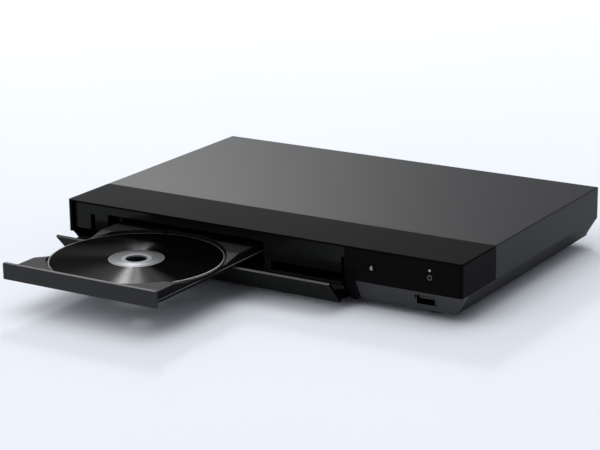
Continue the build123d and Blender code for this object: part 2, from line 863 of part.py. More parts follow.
winding_bottom = board_top + 5
winding_top = winding_bottom + 11
with BuildPart(desk) as transformer:
    for low, high, half_across, half_deep in (
        (board_top, winding_bottom, transformer_half, transformer_half_deep),
        (winding_bottom, winding_top, winding_half, winding_half_deep),
        (winding_top, winding_top + 4, transformer_half, transformer_half_deep),
    ):
        block(
            transformer_x - half_across, transformer_x + half_across,
            transformer_y - half_deep, transformer_y + half_deep, low, high,
        )
transformer.part.label = "transformer"
export_step(transformer.part, "parts/transformer.step")

with BuildPart(desk) as mains_capacitor:
    post(mains_capacitor_x, power_front + 14, board_top, board_top + 26, 8)
mains_capacitor.part.label = "mains_capacitor"
export_step(mains_capacitor.part, "parts/mains_capacitor.step")

with BuildPart(desk) as output_capacitors:
    for x in output_capacitor_xs:
        post(x, power_front + 18, board_top, board_top + 16, 5)
output_capacitors.part.label = "output_capacitors"
export_step(output_capacitors.part, "parts/output_capacitors.step")

# Loader frame: box around the tray, with ledges, guide lips, gear posts and hinge blocks
outer_half = loader_inner + loader_wall
drive_x = tray_x - tray_body_width / 2 + tray_skirt + rack_base + drive_teeth / 2
pulley_x = drive_x + (wheel_teeth + pinion_teeth) / 2
motor_x = pulley_x + belt_span
gear_post_radius = 1.5
wheel_bottom = 18.4
wheel_top = 20.9
pulley_bottom = 21.4
pulley_top = 23.8
hinge_ear = traverse_half + run + 0.4
hinge_cheek_wide = 6.0
deck_bottom = deck_top - deck_thick
with BuildPart(desk) as loader_frame:
    block(
        tray_x - outer_half, tray_x + outer_half, loader_front, loader_back,
        deck_bottom, loader_top,
    )
    block(
        tray_x - loader_inner, tray_x + loader_inner, loader_front - 1, loader_back - loader_wall,
        deck_top, loader_top + 1, Mode.SUBTRACT,
    )
    block(
        tray_x - deck_hole_half, tray_x + deck_hole_half, deck_hole_front, hinge_y - 5,
        deck_bottom - 1, deck_top + 1, Mode.SUBTRACT,
    )
    block(
        tray_x - hinge_ear, tray_x + hinge_ear, hinge_y - 6, hinge_y + 6,
        deck_bottom - 1, deck_top + 1, Mode.SUBTRACT,
    )
    post(motor_x, gear_y, deck_bottom - 1, deck_top + 1, motor_radius + 0.1, Mode.SUBTRACT)
    for side in (-1, 1):
        ledge_outer = tray_x + side * (loader_inner + 0.5)
        ledge_inner = tray_x + side * (loader_inner - ledge_reach)
        lip_inner = tray_x + side * (tray_body_width / 2 + 0.6)
        block(
            min(ledge_outer, ledge_inner), max(ledge_outer, ledge_inner),
            loader_front, loader_back - 1, ledge_top - ledge_thick, ledge_top,
        )
        block(
            min(ledge_outer, lip_inner), max(ledge_outer, lip_inner),
            loader_front + 4, loader_back - 1, tray_rib_top + run, tray_rib_top + run + 1.2,
        )
        cheek_inner = tray_x + side * hinge_ear
        cheek_outer = tray_x + side * (hinge_ear + hinge_cheek_wide)
        block(
            min(cheek_inner, cheek_outer), max(cheek_inner, cheek_outer),
            hinge_y - 4, hinge_y + 4, deck_bottom, hinge_z + 3.6,
        )
    with BuildSketch(profile(tray_x - hinge_ear - hinge_cheek_wide - 1)):
        with Locations((hinge_y, hinge_z)):
            Circle(pin_radius + pin_run)
    extrude(amount=2 * (hinge_ear + hinge_cheek_wide + 1), mode=Mode.SUBTRACT)
    for x, top in ((drive_x, rack_top - seat), (pulley_x, pulley_top + 0.6)):
        post(x, gear_y, deck_top - 1, top, gear_post_radius)
        post(x, gear_y, deck_top - 1, wheel_bottom - seat, gear_post_radius + 1.6)
    for x, y in loader_feet:
        post(x, y, deck_bottom - 1, deck_top + 1, screw_pass, Mode.SUBTRACT)
loader_frame.part.label = "loader_frame"
export_step(loader_frame.part, "parts/loader_frame.step")

# Tray with its disc recess, grip cut-outs, rails and rack
tray_front_y = -tray_reach
body_front = tray_front_y + tray_front_thick
body_back = tray_front_y + tray_length
half_body = tray_body_width / 2
floor_bottom = tray_floor_top - tray_floor_thick
rack_x = tray_x - half_body + tray_skirt
pitch_x = rack_x + rack_base
rack_back = gear_y + tooth_pitch
rack_front = rack_back - rack_teeth * tooth_pitch
foot_in = tooth_in + 0.3
tooth_foot_half = tooth_thick / 2 + foot_in * tooth_slope
tooth_tip_half = tooth_thick / 2 - tooth_out * tooth_slope
with BuildPart(desk) as tray:
    with BuildSketch(level(floor_bottom)):
        with Locations((tray_x, (body_front + body_back) / 2)):
            Rectangle(tray_body_width, body_back - body_front)
    extrude(amount=tray_rim_top - floor_bottom)
    with BuildSketch(level(tray_floor_top)):
        with Locations((tray_x, disc_y)):
            Circle(recess_radius)
    extrude(amount=tray_rim_top, mode=Mode.SUBTRACT)
    with BuildSketch(profile(tray_x - half_body - 1)):
        with BuildLine():
            Polyline(
                [
                    (disc_y - ramp_half, tray_rim_top),
                    (disc_y - grip_half, tray_floor_top),
                    (disc_y + grip_half, tray_floor_top),
                    (disc_y + ramp_half, tray_rim_top),
                    (disc_y + ramp_half, tray_rim_top + 1),
                    (disc_y - ramp_half, tray_rim_top + 1),
                ],
                close=True,
            )
        make_face()
    extrude(amount=tray_body_width + 2, mode=Mode.SUBTRACT)
    with BuildSketch(level(tray_floor_top - small_recess_deep)):
        with Locations((tray_x, disc_y)):
            Circle(small_recess_radius)
    extrude(amount=5, mode=Mode.SUBTRACT)
    with BuildSketch(level(floor_bottom - 1)):
        with Locations((tray_x, disc_y)):
            Circle(disc_window)
        with Locations((tray_x, disc_y + slot_back / 2)):
            Rectangle(slot_width, slot_back)
    extrude(amount=8, mode=Mode.SUBTRACT)
    for side in (-1, 1):
        outer = tray_x + side * half_body
        inner = tray_x + side * (half_body - tray_skirt)
        rib = tray_x + side * (half_body + tray_rib_reach)
        block(
            min(outer, inner), max(outer, inner), body_front, body_back,
            tray_skirt_bottom, floor_bottom + 0.2,
        )
        block(
            min(inner, rib), max(inner, rib), body_front + 2, body_back,
            tray_rib_bottom, tray_rib_top,
        )
    block(
        tray_x - half_body, tray_x + half_body, body_front, body_front + 1.6,
        tray_skirt_bottom, floor_bottom + 0.2,
    )
    block(
        rack_x - 0.2, pitch_x - tooth_in, rack_front, rack_back, rack_bottom, floor_bottom + 0.2
    )
    with BuildSketch(level(rack_bottom)):
        for tooth in range(rack_teeth):
            tooth_y = gear_y + tooth_pitch * (0.5 - tooth)
            with BuildLine():
                Polyline(
                    [
                        (pitch_x - foot_in, tooth_y - tooth_foot_half),
                        (pitch_x + tooth_out, tooth_y - tooth_tip_half),
                        (pitch_x + tooth_out, tooth_y + tooth_tip_half),
                        (pitch_x - foot_in, tooth_y + tooth_foot_half),
                    ],
                    close=True,
                )
            make_face()
    extrude(amount=floor_bottom + 0.1 - rack_bottom)
tray.part.label = "tray"
export_step(tray.part, "parts/tray.step")

with BuildPart(desk) as tray_front:
    block(
        tray_front_left, tray_front_right, tray_front_y, body_front,
        tray_front_bottom, tray_front_top,
    )
    fillet(tray_front.edges().filter_by(Axis.X).group_by(Axis.Y)[0], 0.5)
tray_front.part.label = "tray_front"
export_step(tray_front.part, "parts/tray_front.step")

# Disc with its raised stacking ring
disc_bottom = tray_floor_top + seat
with BuildPart() as disc:
    with BuildSketch(level(disc_bottom)):
        with Locations((tray_x, disc_y)):
            Circle(disc_radius)
            Circle(disc_hole, mode=Mode.SUBTRACT)
    extrude(amount=disc_thick)
    fillet(disc.edges().filter_by(GeomType.CIRCLE).group_by(SortBy.RADIUS)[-1], disc_rim_round)
    with BuildSketch(level(disc_bottom + disc_thick)):
        with Locations((tray_x, disc_y)):
            Circle(stack_ring_radius + stack_ring_wide)
            Circle(stack_ring_radius, mode=Mode.SUBTRACT)
    extrude(amount=stack_ring_high)
disc.part.label = "disc"
export_step(disc.part, "parts/disc.step")


def toothed(teeth, first_angle):
    """A gear's outline of one millimetre module at the middle of the open sketch."""
    pitch_radius = teeth / 2
    Circle(pitch_radius - tooth_in + 0.25)
    with PolarLocations(pitch_radius, teeth, start_angle=first_angle):
        Polygon(
            (-foot_in, -tooth_foot_half),
            (tooth_out, -tooth_tip_half),
            (tooth_out, tooth_tip_half),
            (-foot_in, tooth_foot_half),
            align=None,
        )


# Loading train: drive gear, pulley gear, motor pulley, belt and motor
bore_radius = gear_post_radius + pin_run
drive_bottom = rack_bottom + 0.1
drive_top = rack_top - 0.1
with BuildPart() as drive_gear:
    with BuildSketch(Plane(origin=(drive_x, front_y + gear_y, wheel_bottom))):
        toothed(wheel_teeth, 0.0)
    extrude(amount=wheel_top - wheel_bottom)
    with BuildSketch(Plane(origin=(drive_x, front_y + gear_y, wheel_top))):
        Circle(4.0)
    extrude(amount=drive_bottom - wheel_top)
    with BuildSketch(Plane(origin=(drive_x, front_y + gear_y, drive_bottom))):
        toothed(drive_teeth, 0.0)
    extrude(amount=drive_top - drive_bottom)
    with BuildSketch(Plane(origin=(drive_x, front_y + gear_y, wheel_bottom - 1))):
        Circle(bore_radius)
    extrude(amount=12, mode=Mode.SUBTRACT)
drive_gear.part.label = "drive_gear"
export_step(drive_gear.part, "parts/drive_gear.step")

with BuildPart() as pulley_gear:
    with BuildSketch(Plane(origin=(pulley_x, front_y + gear_y, wheel_bottom))):
        toothed(pinion_teeth, 180.0 / pinion_teeth)
    extrude(amount=pulley_bottom - wheel_bottom)
    with BuildSketch(Plane(origin=(pulley_x, front_y + gear_y, pulley_bottom))):
        Circle(pulley_radius)
    extrude(amount=pulley_top - pulley_bottom)
    with BuildSketch(Plane(origin=(pulley_x, front_y + gear_y, wheel_bottom - 1))):
        Circle(bore_radius)
    extrude(amount=12, mode=Mode.SUBTRACT)
pulley_gear.part.label = "pulley_gear"
export_step(pulley_gear.part, "parts/pulley_gear.step")

motor_top = pulley_bottom - 1.0
shaft_radius = 0.75
with BuildPart(desk) as motor_pulley:
    post(motor_x, gear_y, pulley_bottom, pulley_top, motor_pulley_radius)
    post(motor_x, gear_y, pulley_bottom - 1, pulley_top + 1, shaft_radius + 0.05, Mode.SUBTRACT)
motor_pulley.part.label = "motor_pulley"
export_step(motor_pulley.part, "parts/motor_pulley.step")

with BuildPart(desk) as loading_motor:
    post(motor_x, gear_y, floor_top + 0.2, motor_top, motor_radius)
    post(motor_x, gear_y, motor_top, pulley_top + 0.4, shaft_radius)
loading_motor.part.label = "loading_motor"
export_step(loading_motor.part, "parts/loading_motor.step")

belt_sine = (pulley_radius - motor_pulley_radius) / belt_span
belt_cosine = math.sqrt(1 - belt_sine**2)
belt_middle = (pulley_bottom + pulley_top) / 2


def belt_outline(grow):
    """The belt's four tangent points and two arc tops, for one distance off both pulleys."""
    big = pulley_radius + grow
    small = motor_pulley_radius + grow
    return [
        (pulley_x + big * belt_sine, gear_y + big * belt_cosine),
        (pulley_x - big, gear_y),
        (pulley_x + big * belt_sine, gear_y - big * belt_cosine),
        (motor_x + small * belt_sine, gear_y - small * belt_cosine),
        (motor_x + small, gear_y),
        (motor_x + small * belt_sine, gear_y + small * belt_cosine),
    ]


with BuildPart() as belt:
    with BuildSketch(level(belt_middle - belt_thick / 2)):
        for grow, face_mode in ((run + belt_thick, Mode.ADD), (run, Mode.SUBTRACT)):
            outline = belt_outline(grow)
            with BuildLine():
                ThreePointArc(outline[0], outline[1], outline[2])
                Line(outline[2], outline[3])
                ThreePointArc(outline[3], outline[4], outline[5])
                Line(outline[5], outline[0])
            make_face(mode=face_mode)
    extrude(amount=belt_thick)
belt.part.label = "belt"
export_step(belt.part, "parts/belt.step")

# Traverse: tilting frame with the spindle motor, turntable, rods, pickup sled and screw
pin_out = hinge_ear - traverse_half + 5.6
window_front = -spindle_back + 12.5
screw_x = rod_x + 7.0
screw_radius = 1.3
with BuildPart(traverse) as traverse_frame:
    block(-traverse_half, traverse_half, -traverse_front, 3, -1, traverse_thick - 1)
    block(-rod_x - 5, screw_x + 3, window_front, -9, -2, 5, Mode.SUBTRACT)
    for x in (-rod_x, rod_x):
        for y in (window_front - 1.5, -7.5):
            block(x - 2.6, x + 2.6, y - 1.5, y + 1.5, traverse_thick - 1.2, rod_height + 2.4)
    for x in (-rod_x, rod_x):
        with Locations(Location((x, (window_front - 9) / 2, rod_height), (90, 0, 0))):
            Cylinder(rod_radius, -9 - window_front + 6, mode=Mode.SUBTRACT)
    for y in (window_front - 1.5, -7.5):
        block(screw_x - 2.6, screw_x + 2.6, y - 1.5, y + 1.5, traverse_thick - 1.2, rod_height + 2.4)
    with Locations(Location((screw_x, (window_front - 9) / 2, rod_height), (90, 0, 0))):
        Cylinder(screw_radius + pin_run, -9 - window_front + 8, mode=Mode.SUBTRACT)
    for side in (-1, 1):
        with Locations(Location((side * (traverse_half + pin_out / 2 - 1), 0, 0), (0, 90, 0))):
            Cylinder(pin_radius, pin_out + 2)
    block(-3, 3, -traverse_front, -traverse_front + 2.4, traverse_thick - 1.2, peg_height + 2)
    with Locations(Location((0, -traverse_front - 4, peg_height), (90, 0, 0))):
        Cylinder(peg_radius, 10)
traverse_frame.part.label = "traverse_frame"
export_step(traverse_frame.part, "parts/traverse_frame.step")

with BuildPart(traverse) as guide_rods:
    for x in (-rod_x, rod_x):
        with Locations(Location((x, (window_front - 9) / 2, rod_height), (90, 0, 0))):
            Cylinder(rod_radius, -9 - window_front + 6)
guide_rods.part.label = "guide_rods"
export_step(guide_rods.part, "parts/guide_rods.step")

motor_high = 5.2
with BuildPart(traverse) as spindle_motor:
    post(0, -spindle_back, traverse_thick - 1, motor_high, 10.5)
    post(0, -spindle_back, motor_high, seat_height - 1.6, 1.0)
spindle_motor.part.label = "spindle_motor"
export_step(spindle_motor.part, "parts/spindle_motor.step")

with BuildPart(traverse) as turntable:
    with BuildSketch(traverse.offset(seat_height - 3.4)):
        with Locations((0, -spindle_back)):
            Circle(5.0)
    extrude(amount=2.0)
    with BuildSketch(traverse.offset(seat_height - 1.8)):
        with Locations((0, -spindle_back)):
            Circle(table_radius)
    extrude(amount=1.8)
    with BuildSketch(traverse.offset(seat_height)):
        with Locations((0, -spindle_back)):
            Circle(disc_hole - run)
    extrude(amount=2.0, taper=12)
    post(0, -spindle_back, seat_height - 5, seat_height - 1.5, 1.0 + 0.05, Mode.SUBTRACT)
turntable.part.label = "turntable"
export_step(turntable.part, "parts/turntable.step")

with BuildPart(traverse) as pickup_sled:
    block(-rod_x - 3.4, rod_x + 3.4, -sled_front, -sled_front + sled_long, 2.2, 7.2)
    block(rod_x + 3, screw_x + 2.4, -sled_front + 5, -sled_front + 13, 2.2, 7.2)
    for x in (-rod_x, rod_x):
        with Locations(Location((x, -sled_front + sled_long / 2, rod_height), (90, 0, 0))):
            Cylinder(rod_radius + pin_run, sled_long + 2, mode=Mode.SUBTRACT)
    with Locations(Location((screw_x, -sled_front + 9, rod_height), (90, 0, 0))):
        Cylinder(screw_radius + pin_run, 12, mode=Mode.SUBTRACT)
pickup_sled.part.label = "pickup_sled"
export_step(pickup_sled.part, "parts/pickup_sled.step")

with BuildPart(traverse) as pickup_lens:
    post(0, -sled_front + 8, 7.2, 8.4, 4.6)
    post(0, -sled_front + 8, 8.4, 9.0, 2.2)
pickup_lens.part.label = "pickup_lens"
export_step(pickup_lens.part, "parts/pickup_lens.step")

with BuildPart(traverse) as lead_screw:
    screw_front = window_front - 1.5
    with Locations(Location((screw_x, (screw_front - 6) / 2, rod_height), (90, 0, 0))):
        Cylinder(screw_radius, -6 - screw_front)
lead_screw.part.label = "lead_screw"
export_step(lead_screw.part, "parts/lead_screw.step")

with BuildPart(traverse) as sled_motor:
    with Locations(Location((screw_x, window_front - 11, rod_height), (90, 0, 0))):
        Cylinder(rod_height - traverse_thick + 1, 14)
    block(
        screw_x - 2.4, screw_x + 2.4, window_front - 17, window_front - 5,
        traverse_thick - 1, rod_height,
    )
sled_motor.part.label = "sled_motor"
export_step(sled_motor.part, "parts/sled_motor.step")

# Lift slide: cross slide with a slanted slot that raises the traverse by its front peg
cam_thick = 3.0
cam_front = deck_hole_front + run
peg_reach = (hinge_y - cam_front - cam_thick / 2) / math.cos(math.radians(lift_angle))
peg_low = hinge_z + peg_height - peg_reach * math.sin(math.radians(lift_angle))
peg_high = hinge_z + peg_height
slot_rise = peg_high - peg_low
slot_middle = (tray_x - lift_slide / 2, (peg_low + peg_high) / 2)
peg_gap = 0.45
with BuildPart() as lift_cam:
    with BuildSketch(upright(cam_front)):
        with Locations(slot_middle):
            Rectangle(lift_slide + 16, slot_rise + 2 * peg_radius + 5)
            with Locations(Location((0, 0), math.degrees(math.atan2(-slot_rise, lift_slide)))):
                SlotCenterToCenter(
                    math.hypot(lift_slide, slot_rise), 2 * (peg_radius + peg_gap), mode=Mode.SUBTRACT
                )
    extrude(amount=-cam_thick)
lift_cam.part.label = "lift_cam"
export_step(lift_cam.part, "parts/lift_cam.step")

# Clamp: bridge over the loader, with the loose puck and its magnet
bridge_half = 17.0
bridge_top = loader_top + sheet
puck_hub = 8.6
puck_bottom = tray_rim_top + 0.6
with BuildPart(desk) as clamp_bridge:
    block(
        tray_x - outer_half, tray_x + outer_half, playing_y - bridge_half, playing_y + bridge_half,
        loader_top, bridge_top,
    )
    post(tray_x, playing_y, loader_top - 1, bridge_top + 1, puck_hub + run, Mode.SUBTRACT)
clamp_bridge.part.label = "clamp_bridge"
export_step(clamp_bridge.part, "parts/clamp_bridge.step")

with BuildPart(desk) as clamp_puck:
    post(tray_x, playing_y, puck_bottom, puck_bottom + 1.4, 14.0)
    post(tray_x, playing_y, puck_bottom + 1.4, bridge_top + seat, puck_hub)
    post(tray_x, playing_y, bridge_top + seat, bridge_top + seat + 1.2, puck_hub + 3)
    post(tray_x, playing_y, puck_bottom - 1, puck_bottom + 3, disc_hole, Mode.SUBTRACT)
clamp_puck.part.label = "clamp_puck"
export_step(clamp_puck.part, "parts/clamp_puck.step")

with BuildPart(desk) as clamp_magnet:
    post(tray_x, playing_y, bridge_top + seat + 1.2, bridge_top + seat + 3, 7.0)
clamp_magnet.part.label = "clamp_magnet"
export_step(clamp_magnet.part, "parts/clamp_magnet.step")

# Flat cable from the loader's side to the main board's plug
cable_thick = 0.3
cable_wide = 20.0
plug_top = board_top + plug_high
wall_x = tray_x + outer_half
cable_line = [
    (wall_x + cable_thick / 2, 33),
    (wall_x + cable_thick / 2, 26),
    (wall_x + 6, 24),
    (main_left + 3, 20),
    (main_left + 6, plug_top + cable_thick / 2),
    (main_left + 11, plug_top + cable_thick / 2),
]
with BuildPart() as flat_cable:
    with BuildSketch(upright(plug_start + 2)):
        with BuildLine():
            FilletPolyline(cable_line, radius=1.2)
        trace(line_width=cable_thick)
    extrude(amount=-cable_wide)
flat_cable.part.label = "flat_cable"
export_step(flat_cable.part, "parts/flat_cable.step")

# Screws: one group for the boards, one for the loader and one for the back
with BuildPart(desk) as board_screws:
    for x, y in main_holes + power_holes:
        post(x, y, board_top, board_top + screw_head_high, screw_head)
        post(x, y, board_bottom - screw_bite, board_top, shank)
board_screws.part.label = "board_screws"
export_step(board_screws.part, "parts/board_screws.step")

with BuildPart(desk) as loader_screws:
    for x, y in loader_feet:
        post(x, y, deck_top, deck_top + screw_head_high, screw_head)
        post(x, y, deck_bottom - screw_bite, deck_top, shank)
loader_screws.part.label = "loader_screws"
export_step(loader_screws.part, "parts/loader_screws.step")

with BuildPart() as rear_screws:
    for x in rear_screw_places:
        with BuildSketch(upright(rear_front + sheet)):
            with Locations((x, rear_screw_z)):
                Circle(screw_head)
        extrude(amount=-screw_head_high)
        with BuildSketch(upright(rear_front + sheet)):
            with Locations((x, rear_screw_z)):
                Circle(shank)
        extrude(amount=sheet + screw_bite + 1)
rear_screws.part.label = "rear_screws"
export_step(rear_screws.part, "parts/rear_screws.step")
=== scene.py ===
# %% [markdown]
# # A disc player with its tray out
# The CAD model of the player is already a set of separate solids, each at its real size and
# place. This script loads them as a fixed frame and gives them their looks: a finish for every
# solid, and a few pieces that are modelled again with more detail than the solids have.
# Everything is in metres. X is across, Y runs from the front to the back and Z is up.

# %% Load the solids
import math
import bmesh
import bpy
from mathutils import Matrix, Vector


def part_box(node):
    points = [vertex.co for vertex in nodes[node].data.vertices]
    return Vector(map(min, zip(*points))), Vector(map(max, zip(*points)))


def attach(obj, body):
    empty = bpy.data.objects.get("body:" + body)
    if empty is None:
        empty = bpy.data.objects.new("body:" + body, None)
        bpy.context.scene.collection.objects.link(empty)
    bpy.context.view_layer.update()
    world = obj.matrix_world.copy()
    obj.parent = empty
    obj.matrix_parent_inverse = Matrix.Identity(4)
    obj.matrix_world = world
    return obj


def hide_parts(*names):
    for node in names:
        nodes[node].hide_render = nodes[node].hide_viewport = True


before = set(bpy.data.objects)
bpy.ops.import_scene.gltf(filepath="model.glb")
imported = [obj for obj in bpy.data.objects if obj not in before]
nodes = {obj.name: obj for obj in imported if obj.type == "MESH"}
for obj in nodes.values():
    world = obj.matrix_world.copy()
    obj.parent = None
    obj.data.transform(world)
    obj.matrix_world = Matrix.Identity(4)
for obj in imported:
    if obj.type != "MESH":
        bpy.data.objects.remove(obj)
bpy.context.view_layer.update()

# %% [markdown]
# ## Lengths, colours and nodes
# A few small helpers are used all the way down. Lengths are written in millimetres, as on a
# drawing, and turned to metres once. Colours are written as they look on a screen, and turned to
# the linear values that a renderer counts in. Nodes are added by one function, which sets the
# node, fills its sockets and makes its links. Every material starts with its shader in place, and
# nearly every one has a tone that drifts a little from spot to spot.

# %% Helpers for lengths, colours and nodes
MM = 0.001


def linear(code):
    """A screen colour such as "#3a3a3c" as the linear RGBA that Blender's sockets hold."""
    channels = []
    for start in (1, 3, 5):
        value = int(code[start:start + 2], 16) / 255
        if value <= 0.04045:
            channels.append(value / 12.92)
        else:
            channels.append(((value + 0.055) / 1.055) ** 2.4)
    return (*channels, 1.0)


def toned(colour, factor):
    """A linear colour made darker or lighter by a factor."""
    return (*[channel * factor for channel in colour[:3]], 1.0)


def fill(made, values=None, links=None):
    """Fills a node's sockets with values, and makes the links into them.

    A link comes from a socket, or from a node, which then gives its first output in use.
    """
    for socket, value in (values or {}).items():
        made.inputs[socket].default_value = value
    for socket, source in (links or {}).items():
        if isinstance(source, bpy.types.Node):
            source = next(output for output in source.outputs if output.enabled)
        made.id_data.links.new(source, made.inputs[socket])


def add_node(tree, kind, values=None, links=None, **settings):
    """Adds a node with its own settings, the values of its sockets and the links into them."""
    made = tree.nodes.new("ShaderNode" + kind)
    for name, value in settings.items():
        setattr(made, name, value)
    fill(made, values, links)
    return made


def new_finish(name):
    """A new material, its node tree, the output of its object coordinates, and its shader."""
    finish = bpy.data.materials.new(name)
    finish.use_nodes = True
    tree = finish.node_tree
    tree.nodes.clear()
    shader = add_node(tree, "BsdfPrincipled")
    add_node(tree, "OutputMaterial", links={"Surface": shader})
    return finish, tree, add_node(tree, "TexCoord").outputs["Object"], shader


def mottled(tree, place, size, dark, light, detail=3.0):
    """Noise of a size in metres, and a tone that drifts with it between two linear colours."""
    noise = add_node(tree, "TexNoise", {"Scale": 1 / size, "Detail": detail}, {"Vector": place})
    tone = add_node(tree, "Mix", {"A": dark, "B": light}, {"Factor": noise}, data_type="RGBA")
    return noise, tone


def give(finish, *names):
    """Puts a finish on solids or pieces, in their one slot."""
    for name in names:
        piece = bpy.data.objects[name]
        piece.data.materials.clear()
        piece.data.materials.append(finish)


# %% [markdown]
# ## The camera
# The photograph was taken from the right of the front and a little above, from far away with a
# long lens, so that the lines of the cabinet stay nearly parallel. The place and the angles come
# from fitting the cabinet's corners, and the focal length follows from the same fit.

# %% Camera
CAMERA_PLACE = (0.7256, -1.1574, 0.4399)
CAMERA_YAW = 31.84
CAMERA_PITCH = 16.48
CAMERA_ROLL = -0.71
FOCAL_LENGTH = 121.5
SENSOR_WIDTH = 36.0

bpy.ops.object.camera_add()
camera = bpy.context.object
camera.name = "photo_camera"
camera.data.lens = FOCAL_LENGTH
camera.data.sensor_width = SENSOR_WIDTH
camera.data.clip_start = 0.05
turn = (
    Matrix.Rotation(math.radians(CAMERA_YAW), 4, "Z")
    @ Matrix.Rotation(math.radians(90 - CAMERA_PITCH), 4, "X")
    @ Matrix.Rotation(math.radians(CAMERA_ROLL), 4, "Z")
)
camera.matrix_world = Matrix.Translation(CAMERA_PLACE) @ turn
bpy.context.scene.camera = camera
print("camera at", [round(v, 3) for v in camera.location], "lens", camera.data.lens)

# %% [markdown]
# ## The studio
# A dark, glossy object shows its surroundings more than its own colour. So the studio is part of
# the finish. The floor is pale paper, and the room above it turns from near white at the horizon
# to a dim grey, with one bright corner at the back left that the gloss mirrors.

# %% Floor and room
FLOOR_SIZE = 30.0
CLOUD_SIZE = 1 / 3
GLOW_BEARING = 62
GLOW_HEIGHT = 18
GLOW_OUTSIDE = 41
GLOW_INSIDE = 6
HORIZON_STARTS = 0.05
HORIZON_ENDS = 0.16


def direction_to(bearing, height):
    """The direction to a bearing, in degrees from the back round to the left, and a height."""
    bearing, height = math.radians(bearing), math.radians(height)
    return Vector((
        -math.sin(bearing) * math.cos(height),
        math.cos(bearing) * math.cos(height),
        math.sin(height),
    ))


bpy.context.scene.view_settings.view_transform = "Standard"
bpy.ops.mesh.primitive_plane_add(size=FLOOR_SIZE)
floor = bpy.context.object
floor.name = "studio_floor"
# seamless paper: an even matte sheet, with the faint cloudiness of its pulp
floor_paper, tree, place, shader = new_finish("matte_floor_paper")
_, tint = mottled(tree, place, CLOUD_SIZE, linear("#edf1f8"), linear("#f1f5fb"), detail=2.0)
fill(shader, {"Roughness": 1.0, "Specular IOR Level": 0.0}, {"Base Color": tint})
floor.data.materials.append(floor_paper)

room = bpy.data.worlds.new("studio_room")
bpy.context.scene.world = room
room.use_nodes = True
tree = room.node_tree
tree.nodes.clear()
direction = add_node(tree, "TexCoord").outputs["Generated"]
height = add_node(tree, "SeparateXYZ", links={"Vector": direction})
above_horizon = add_node(
    tree, "MapRange", {"From Min": HORIZON_STARTS, "From Max": HORIZON_ENDS},
    {"Value": height.outputs["Z"]}, interpolation_type="SMOOTHSTEP",
)
walls = add_node(
    tree, "Mix", {"A": linear("#eef3fa"), "B": linear("#989a9e")}, {"Factor": above_horizon},
    data_type="RGBA",
)
# the bright corner fades out slowly on all sides
towards_glow = add_node(
    tree, "VectorMath", {1: direction_to(GLOW_BEARING, GLOW_HEIGHT)}, {0: direction},
    operation="DOT_PRODUCT",
)
glow = add_node(
    tree, "MapRange",
    {
        "From Min": math.cos(math.radians(GLOW_OUTSIDE)),
        "From Max": math.cos(math.radians(GLOW_INSIDE)),
    },
    {"Value": towards_glow}, interpolation_type="SMOOTHSTEP",
)
lit_walls = add_node(
    tree, "Mix", {"B": linear("#fbfcff")}, {"A": walls, "Factor": glow}, data_type="RGBA"
)
air = add_node(tree, "Background", {"Strength": 1.0}, {"Color": lit_walls})
add_node(tree, "OutputWorld", links={"Surface": air})

# %% [markdown]
# Two wide soft suns stand for the big soft lamps of a studio, one overhead and one at the front
# left, and light every side alike. Three soft boxes stand low behind the player, where the gloss
# and the disc mirror them: a broad one, whose light slides along the satin top, and two narrow
# strips, whose light the disc draws out into bright fans.

# %% Lamps
BOX_DISTANCE = 3.0


def new_lamp(name, kind, power, towards):
    """A lamp that faces the player from a direction."""
    bpy.ops.object.light_add(type=kind)
    lamp = bpy.context.object
    lamp.name = name
    lamp.data.energy = power
    lamp.rotation_euler = towards.to_track_quat("Z", "Y").to_euler()
    return lamp


def soft_sun(name, bearing, height, power, spread):
    """A wide soft lamp that lights everything alike. Its spread is in degrees."""
    lamp = new_lamp(name, "SUN", power, direction_to(bearing, height))
    lamp.data.angle = math.radians(spread)


def soft_box(name, bearing, height, power, size):
    """A soft lamp with a width and a height in metres."""
    towards = direction_to(bearing, height)
    lamp = new_lamp(name, "AREA", power, towards)
    lamp.data.shape = "RECTANGLE"
    lamp.data.size, lamp.data.size_y = size
    lamp.location = towards * BOX_DISTANCE


soft_sun("overhead_light", bearing=0, height=89, power=0.95, spread=60)
soft_sun("front_left_light", bearing=165, height=40, power=1.1, spread=50)
soft_box("low_back_light", bearing=37.0, height=27, power=5.2, size=(0.79, 0.47))
soft_box("left_strip_light", bearing=41.1, height=33, power=12.8, size=(0.06, 0.35))
soft_box("right_strip_light", bearing=39.1, height=33, power=3.3, size=(0.035, 0.35))

# %% [markdown]
# ## Finishes of moulded plastic
# Most of what shows is ABS from an injection mould. Its surface is the mould's: spark-eroded for
# a matte grain, or polished for a gloss. One function holds what they share, which is an even
# colour with a slight mottle, the grain as a bump, and edges that the mould leaves a little
# round. A bevel node rounds those edges in the shading alone, so the solids stay as they are.

# %% Moulded plastic
PATCH_SIZE = 18 * MM
GLOSS_DRIFT = 0.04
PLASTIC_IOR = 1.5


def grained(tree, place, grain, relief, edge=None):
    """The bump of a surface's grain, over rounded edges: grain size, depth and radius in mm."""
    pits = add_node(tree, "TexNoise", {"Scale": 1 / (grain * MM), "Detail": 2.0}, {"Vector": place})
    links = {"Height": pits}
    if edge:
        links["Normal"] = add_node(tree, "Bevel", {"Radius": edge * MM}, samples=4)
    return add_node(tree, "Bump", {"Distance": relief * MM}, links)


